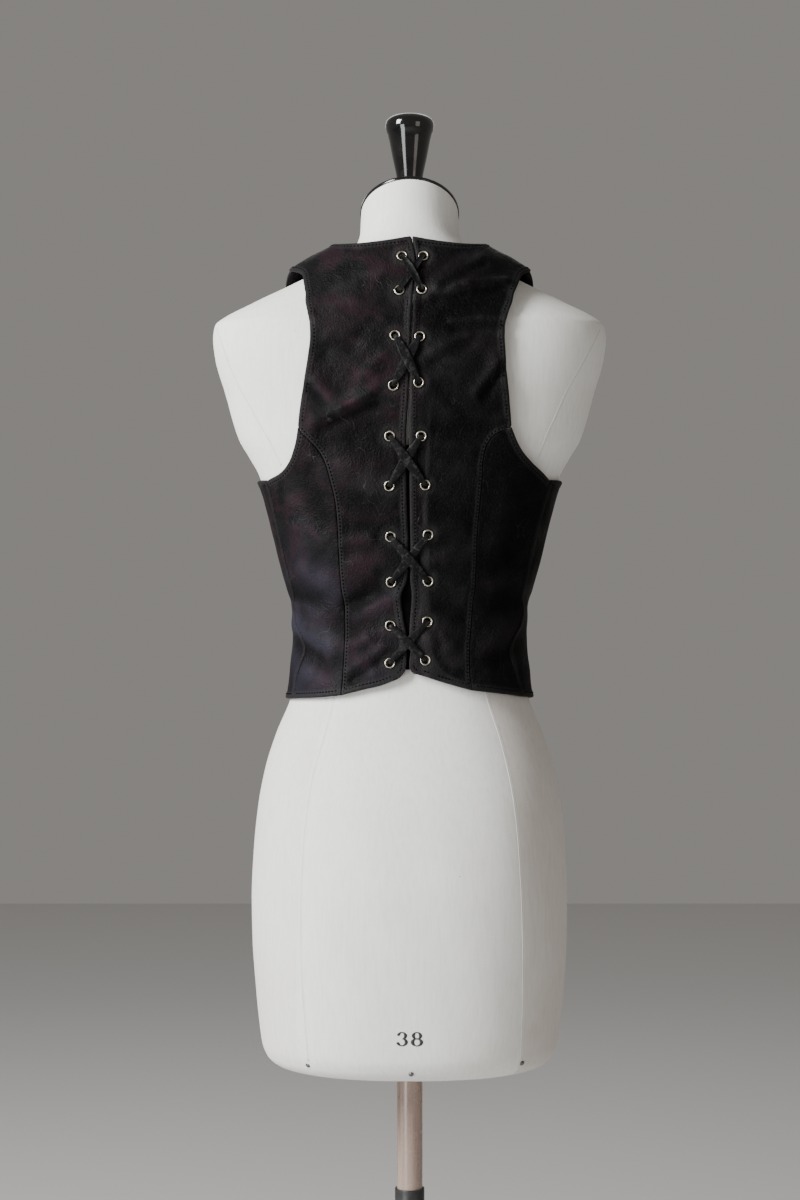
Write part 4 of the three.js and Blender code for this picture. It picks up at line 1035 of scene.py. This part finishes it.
armhole_x = columns("z left right", [
    [1259, 114, 103], [1278, 112, 101.5], [1305, 108, 99], [1332, 104, 97], [1354, 102, 96],
    [1374, 104, 99.5], [1395, 107, 106], [1410, 109.5, 112], [1420, 112.5, 117],
])
underarm_x = columns("z left right", [
    [1259, 114, 103], [1247, 116, 108], [1236, 119, 114], [1224, 124, 125], [1214, 133, 137],
])
side_seam = columns("z left right", [
    [1005, -25, -33], [1030, -31, -36], [1047, -27, -32], [1062, -19, -25], [1076, -16, -22],
    [1095, -21, -27], [1130, -22, -29],
])
side_ends = {"left": ((-23, 982.5), (-24, 1207)), "right": ((-29, 985), (-27, 1207))}
hem_x = {
    "left": ([(13, 1004), (30, 997.5), (45, 994), (70, 987.5)], [(70, 987.5), (91, 985)]),
    "right": ([(8, 1009), (27, 1003), (45, 997.5), (63, 992.5)], [(63, 992.5), (90, 989)]),
}
back_neckline = [(-77, 1453), (-57, 1450.5), (-30, 1452.5), (0, 1458)]
front_hem = [(90, 970), (60, 974), (25, 979)]
front_neckline = [(0, 1318), (24, 1323), (43, 1340), (57, 1372), (65, 1408), (70, 1438)]
front_armhole = [
    (149, 1212), (136, 1224), (127, 1245), (122, 1280), (122, 1330), (126, 1375), (131, 1405), (132, 1417),
]
shoulder_neck, shoulder_tip = (0, 1458), (0, 1430)


def placed(points, facing=1):
    """Rows of (x, z) as (angle, z), on the back or, with facing -1, on the front."""
    x, z = np.array(points, float).T
    return np.stack([facing * angle_at(vest_rings, x, z), z], 1)


def seam_line(table, side_name):
    """A column of a table of seams as (angle, z)."""
    return placed(np.stack([table[side_name], table["z"]], 1))


# Rows of the nets are counted from the hem to the underarm, the back neckline, the front one and the
# shoulder.
underarm, back_neck, front_neck, shoulder = 15, 22, 23, 29
every_row = spread(435, 2.3) * shoulder
lower_rows = spread(225, 2.3) * underarm
sewn = (plain_seam, -1, plain_seam)
folded = (turned_edge, -1, turned_edge)
laced_lift = {"left": 0.9, "right": -0.25}
panels = {}
for side, name in ((-1, "left"), (1, "right")):
    foot, under_side = side_ends[name]
    princess_line = seam_line(princess_x, name)
    princess_line[0] = placed([hem_x[name][0][-1]])[0]
    side_line = np.vstack([foot, np.stack([side_seam[name], side_seam["z"]], 1), under_side])
    armhole_line = np.vstack([seam_line(armhole_x, name), shoulder_tip])
    corner = placed([(side * x, z) for x, z in laced_corner[name]])
    laced_line = np.vstack([corner, placed(np.stack([side * laced_x[name], laced_x["z"]], 1))])
    u = spread(78, 2.5)
    back = net(
        edge(placed(hem_x[name][0]), u), edge([shoulder_neck, shoulder_tip], u), long_edge([
            (laced_line, back_neck), (np.vstack([laced_line[-1:], back_neckline]), shoulder - back_neck),
        ], every_row),
        long_edge([(princess_line, underarm), (armhole_line, shoulder - underarm)], every_row),
        u, every_row / shoulder,
    )
    edge_shapes = (folded, (topstitched_seam, underarm, turned_edge), folded, sewn)
    panels["back_" + name] = panel(
        "back_panel_" + name, side, back, every_row, edge_shapes, "back_" + name, name, laced_lift[name],
    )
    u = spread(44, 2.4)
    beside = net(
        edge(np.vstack([placed(hem_x[name][1]), foot]), u),
        edge(np.vstack([seam_line(underarm_x, name), under_side]), u),
        edge(princess_line, lower_rows / underarm), edge(side_line, lower_rows / underarm),
        u, lower_rows / underarm,
    )
    edge_shapes = (sewn, sewn, folded, folded)
    panels["side_back_" + name] = panel(
        "side_back_panel_" + name, side, beside, lower_rows, edge_shapes, "side_back_" + name,
    )
    u = spread(215, 2.6)
    middle = (90, 1110)
    front = net(
        edge([*front_hem, foot], u), edge([shoulder_neck, shoulder_tip], u),
        long_edge([
            ([front_hem[0], middle], underarm),
            (np.vstack([middle, placed(front_neckline[:1], -1)]), front_neck - underarm),
            (np.vstack([placed(front_neckline, -1), shoulder_neck]), shoulder - front_neck),
        ], every_row),
        long_edge([
            (side_line, underarm),
            (np.vstack([under_side, placed(front_armhole, -1), shoulder_tip]), shoulder - underarm),
        ], every_row), u, every_row / shoulder,
    )
    edge_shapes = (
        (topstitched_seam, front_neck, turned_edge), (ridged_seam, underarm, turned_edge), folded, sewn,
    )
    panels["front_" + name] = panel(
        "front_panel_" + name, side, front, every_row, edge_shapes, "front_" + name,
    )

# The eyelet holes are punched through both back panels with a round punch.
hole_radius = 3.9
for name in ("left", "right"):
    hole = [(hole_radius, -6), (hole_radius, 6)]
    punches = [stacked(standing(hole, 24, *place)) for place in zip(*eyelet_places[name])]
    punch = solid("punch_" + name, *joined(punches), suede, [], "suede")
    back_panel = panels["back_" + name][0]
    cut = back_panel.modifiers.new("punched", "BOOLEAN")
    cut.object, cut.operation, cut.solver = punch, "DIFFERENCE", "EXACT"
    whole = bpy.data.meshes.new_from_object(back_panel.evaluated_get(bpy.context.evaluated_depsgraph_get()))
    back_panel.modifiers.clear()
    back_panel.data = whole
    bpy.data.objects.remove(punch)

# A strip of the same leather is sewn behind the right laced edge and laps under the left one, so that the form
# doesn't show where the two edges part above the lowest cross. Its colour is near black as painted shade in
# the gap.
lap_sides = columns("z left right", [
    [1014, -8, 4.5], [1024, -9.5, 5], [1045, -12.5, 8], [1090, -13.5, 7.5], [1130, -9, 7], [1240, -8, 6],
])
lap_z, across_lap = np.meshgrid(np.linspace(1014, 1240, 64), np.linspace(0, 1, 14), indexing="ij")
lap_x = smooth(lap_sides, "left", lap_z) * (1 - across_lap) + smooth(lap_sides, "right", lap_z) * across_lap
lap_face, lap_out = on_vest(*on_back(vest_rings, lap_x, lap_z))
lap_front, lap_behind = 2.2, 3.4
shaded_dark_suede = finish(
    "shaded_dark_suede",
    dappled(60.0, [(0.35, (0.0008, 0.0008, 0.0008)), (0.65, (0.0018, 0.0017, 0.0017))], 5.0),
    varied(40.0, 0.8, 0.95), grained(900.0), 0.5, 0.0006, Specular_IOR_Level=0.04,
)
lap = wall(lap_face - lap_front * lap_out, lap_face - lap_behind * lap_out)
solid("lap_strip", *lap, shaded_dark_suede, ["under_lap"], "suede")

# The seam allowances are pressed open behind each seam: a double strip of leather, thinner towards its edges.
allowance = np.array([(-7, -2.5), (0, -1.95), (7, -2.5), (7, -3.1), (0, -3.0), (-7, -3.1)])


def edges_of(points, out):
    """The four edges of a panel: places, directions out, and directions into the panel, which are read between
    the edge and the twelfth line of the net beside it."""
    for line, normal, inside in (
        (points[:, 0], out[:, 0], points[:, 12]), (points[:, -1], out[:, -1], points[:, -13]),
        (points[0], out[0], points[12]), (points[-1], out[-1], points[-13]),
    ):
        yield line, normal, unit(inside - line)


long_rows = len(every_row)
seam_row, front_row, laced_row = np.searchsorted(every_row, (underarm, front_neck, back_neck))
strips = []
for whole_name, line, last in (
    ("back_left", 1, seam_row), ("back_right", 1, seam_row), ("front_left", 1, seam_row),
    ("front_right", 1, seam_row), ("front_left", 0, front_row), ("back_left", 3, 0), ("back_right", 3, 0),
):
    seam = list(edges_of(*panels[whole_name][1:3]))[line]
    places, normals, inward = (values[3:last - 3] for values in seam)
    strips.append(swept(places, inward, normals, allowance))
solid("seam_allowances", *joined(strips), shaded_dark_suede, [], "suede")

# ---- Stitching ----
# Rows of lockstitch in black thread, 3.7 mm apart: 4.8 mm in from the free edges, and 2.9 mm from the
# princess seams and the centre front seam. Each stitch is a short thread that dips into the leather at both
# ends.
thread_black = finish(
    "thread_black", dappled(800.0, [(0.3, (0.0008, 0.0008, 0.0008)), (0.7, (0.0018, 0.0017, 0.0018))]),
    varied(500.0, 0.5, 0.7), grained(2600.0, 1.0), 0.3, 0.0002, Specular_IOR_Level=0.04,
)
pitch, from_fold, from_seam = 3.7, 4.8, 2.9
along = np.linspace(-1.2, 1.2, 7)
swell = np.sqrt(1 - (along / 1.3) ** 2)
round_thread = np.linspace(0, 2 * np.pi, 6, endpoint=False)
thread_width, thread_rise = 0.74, 0.38
stitch_points, stitch_faces = stacked(np.stack(np.broadcast_arrays(
    along[:, None], thread_width * swell[:, None] * np.cos(round_thread),
    0.62 * swell[:, None] - 0.25 + thread_rise * swell[:, None] * np.sin(round_thread),
), -1))


def stitch_row(points, out, inward, first, last, inset):
    """Stitches along an edge between two of its points: one at each pitch of its length, the inset away."""
    points, out, inward = points[first:last], out[first:last], inward[first:last]
    run = run_of(points)
    at = np.arange(inset + 1, run[-1] - inset, pitch)
    place, up, across = (
        np.stack([np.interp(at, run, column) for column in values.T], -1) for values in (points, out, inward)
    )
    travel = unit(np.gradient(place, axis=0))
    up = unit(up)
    across = unit(across - travel * (across * travel).sum(1, keepdims=True))
    centre = place + inset * across + 0.25 * up
    frames = np.stack([travel, np.cross(up, travel), up], 1)
    bodies = centre[:, None] + np.einsum("pk,nkc->npc", stitch_points, frames)
    shift = np.arange(len(at))[:, None, None] * len(stitch_points)
    return bodies.reshape(-1, 3), np.where(stitch_faces < 0, -1, stitch_faces + shift).reshape(-1, 4)


stitched_edges = {
    "back": [
        (0, 0, laced_row, from_fold), (0, laced_row, long_rows, from_fold), (1, 0, seam_row, from_seam),
        (1, seam_row, long_rows, from_fold), (2, 0, None, from_fold),
    ],
    "side_back": [(2, 0, None, from_fold), (3, 0, None, from_fold)],
    "front": [
        (0, 0, front_row, from_seam), (0, front_row, long_rows, from_fold),
        (1, seam_row, long_rows, from_fold), (2, 0, None, from_fold),
    ],
}
for kind, lines in stitched_edges.items():
    for name in ("left", "right"):
        sides = list(edges_of(*panels[kind + "_" + name][1:3]))
        rows_of_thread = [stitch_row(*sides[line], *where) for line, *where in lines]
        solid("stitches_" + kind + "_" + name, *joined(rows_of_thread), thread_black, [], "suede")

# Each panel is one sheet of leather.
for whole_name, (piece, points, out, area) in panels.items():
    kind = whole_name.rsplit("_", 1)[0]

# ---- Eyelets ----
# Stamped brass, 11 mm across: a barrel through the leather with a rolled flange outside. The brass is dulled
# in patches.
aged_brass = finish(
    "aged_brass",
    dappled(240.0, [(0.3, (0.26, 0.23, 0.17)), (0.5, (0.5, 0.46, 0.37)), (0.7, (0.66, 0.62, 0.53))], 4.0),
    varied(300.0, 0.22, 0.5, start=0.35), grained(700.0), 0.15, 0.0002, Metallic=1.0,
)
eyelet_section = [
    (3.3, -2.0), (3.7, -2.0), (3.7, 0.4), (4.4, 0.58), (5.0, 0.56), (5.4, 0.72), (5.35, 1.0), (5.1, 1.28),
    (4.75, 1.44), (4.35, 1.38), (4.0, 1.1), (3.7, 0.6), (3.5, 0.0),
]
for name in ("left", "right"):
    for number, (spot, out) in enumerate(zip(*eyelet_places[name]), 1):
        solid(f"brass_eyelet_{name}_{number}", *looped(standing(eyelet_section, 28, spot, out)), aged_brass,
              [f"eyelet_{name}_{number}"], "eyelet_brass")

# ---- Lace ----
# One flat thong of black suede, 7 to 10 mm wide. It crosses outside between each two rows of eyelets, left
# over right, runs down inside to the next row, and both ends hang inside below the lowest eyelets.
thong_thickness, pinched_width, pinched_thickness = 1.3, 4.8, 1.8
outside_height, inside_height, hanging_end = 2.7, -3.7, 14


def station(place, across, out, width, thickness):
    """One place on the thong, with its directions across and out."""
    return np.concatenate([place, across, out, [width, thickness]])


def through_eyelet(spot, out, outside_way, inside_way):
    """Stations of the thong from outside to inside: it bends into the eyelet and out of it again."""
    way_out = unit(outside_way - out * (outside_way @ out))
    way_in = unit(inside_way - out * (inside_way @ out))
    across_out = np.cross(out, way_out)
    across_in = -np.cross(out, way_in)
    across_in = across_in * (1 if across_in @ across_out >= 0 else -1)
    middle = unit(across_out + across_in)
    bend = [
        (1.6 * way_out + outside_height * out, across_out, out),
        (0.4 * way_out + (outside_height - 0.9) * out, across_out, unit(out - way_out)),
        (-0.6 * out, middle, np.cross(middle, out)),
        (0.4 * way_in + (inside_height + 0.9) * out, across_in, unit(out + way_in)),
        (1.6 * way_in + inside_height * out, across_in, out),
    ]
    return [station(spot + step, *directions, pinched_width, pinched_thickness) for step, *directions in bend]


def lying(start, end, height, lift, widest):
    """Stations between two eyelets, on the vest's own shape at a height above it."""
    t = np.arange(1, 5) / 5
    x = start[0] * (1 - t) + end[0] * t
    z = start[2] * (1 - t) + end[2] * t
    spot, out = on_vest(*on_back(vest_rings, x, z))
    swell = np.sin(np.pi * t)
    place = spot + out * (height + lift * swell ** 1.5)[:, None]
    along = end - start
    along = unit(along - out * (out @ along)[:, None])
    across = np.cross(out, along)
    width = pinched_width + (widest - pinched_width) * swell
    thickness = pinched_thickness + (thong_thickness - pinched_thickness) * swell
    return [station(*values) for values in zip(place, across, out, width, thickness)]


down = np.array([0.0, 0.0, -1.0])
other = {"left": "right", "right": "left"}
stretch_widths = {"left": [7.6, 10.2, 9.6, 9.4, 8.4], "right": [7.2, 10.6, 10.2, 9.0, 9.0]}


def half_lace(start, lifts):
    """Half of the lace from the first row down: outside to the other side one row lower, then inside to the
    next row."""
    name, stations = start, []
    for row in range(0, 10, 2):
        spots, outs = eyelet_places[name]
        far, far_outs = eyelet_places[other[name]]
        away = far[row + 1] - spots[row]
        arriving = np.array([1.0 if name == "left" else -1.0, 0, 0]) if row == 0 else -down
        stations += through_eyelet(spots[row], outs[row], away, arriving)[::-1]
        widest = stretch_widths[name][row // 2]
        stations += lying(spots[row], far[row + 1], outside_height, lifts[name], widest)
        stations += through_eyelet(far[row + 1], far_outs[row + 1], -away, down)
        name = other[name]
        if row < 8:
            stations += lying(far[row + 1], far[row + 2], inside_height, 0, pinched_width)
    last = eyelet_places[name][0][9]
    return stations + lying(last, last + hanging_end * down, inside_height, 0, pinched_width)


lifts = {"left": 2.4, "right": 0}
bridge = lying(eyelet_places["left"][0][0], eyelet_places["right"][0][0], inside_height, 0, pinched_width)
lace_stations = np.array(half_lace("left", lifts)[::-1] + bridge + half_lace("right", lifts))
travel = np.gradient(lace_stations[:, :3], axis=0)
for k, current in enumerate(lace_stations):
    if np.cross(current[3:6], current[6:9]) @ travel[k] < 0:
        current[3:6] *= -1
    if k and current[3:6] @ lace_stations[k - 1, 3:6] < 0:
        current[3:9] *= -1
lace_path = drawn_through(lace_stations, 5)
places, across, out = lace_path[:, :3], unit(lace_path[:, 3:6]), lace_path[:, 6:9]
out = unit(out - across * (out * across).sum(1, keepdims=True))
width, thickness = lace_path[:, 9:10], lace_path[:, 10:11]
turn = np.linspace(0, 2 * np.pi, 16, endpoint=False)
run = run_of(places)
folded_over = 0.75 / (1 + np.exp((1400 - places[:, 2]) / 4))
curl = (0.2 * np.sin(run / 5.3) + 0.15 * np.sin(run / 2.3 + 1) + folded_over)[:, None] * np.cos(2 * turn)
lace_section = np.stack([
    width / 2 * np.sign(np.cos(turn)) * np.abs(np.cos(turn)) ** 0.7,
    thickness / 2 * np.sign(np.sin(turn)) * np.abs(np.sin(turn)) ** 0.7 + curl * (width > 4),
], -1)
lace_leather = finish(
    "lace_leather", dappled(170.0, [
        (0.36, (0.0012, 0.0011, 0.0012)), (0.54, (0.0036, 0.0032, 0.0034)), (0.7, (0.026, 0.023, 0.023)),
    ], 6.0, 1.0),
    varied(90.0, 0.45, 0.75), grained(500.0, 5.0), 0.6, 0.0008, Sheen_Weight=0.03, Specular_IOR_Level=0.12,
)
solid("flat_lace", *swept(places, across, out, lace_section), lace_leather, ["lace"], "thong")
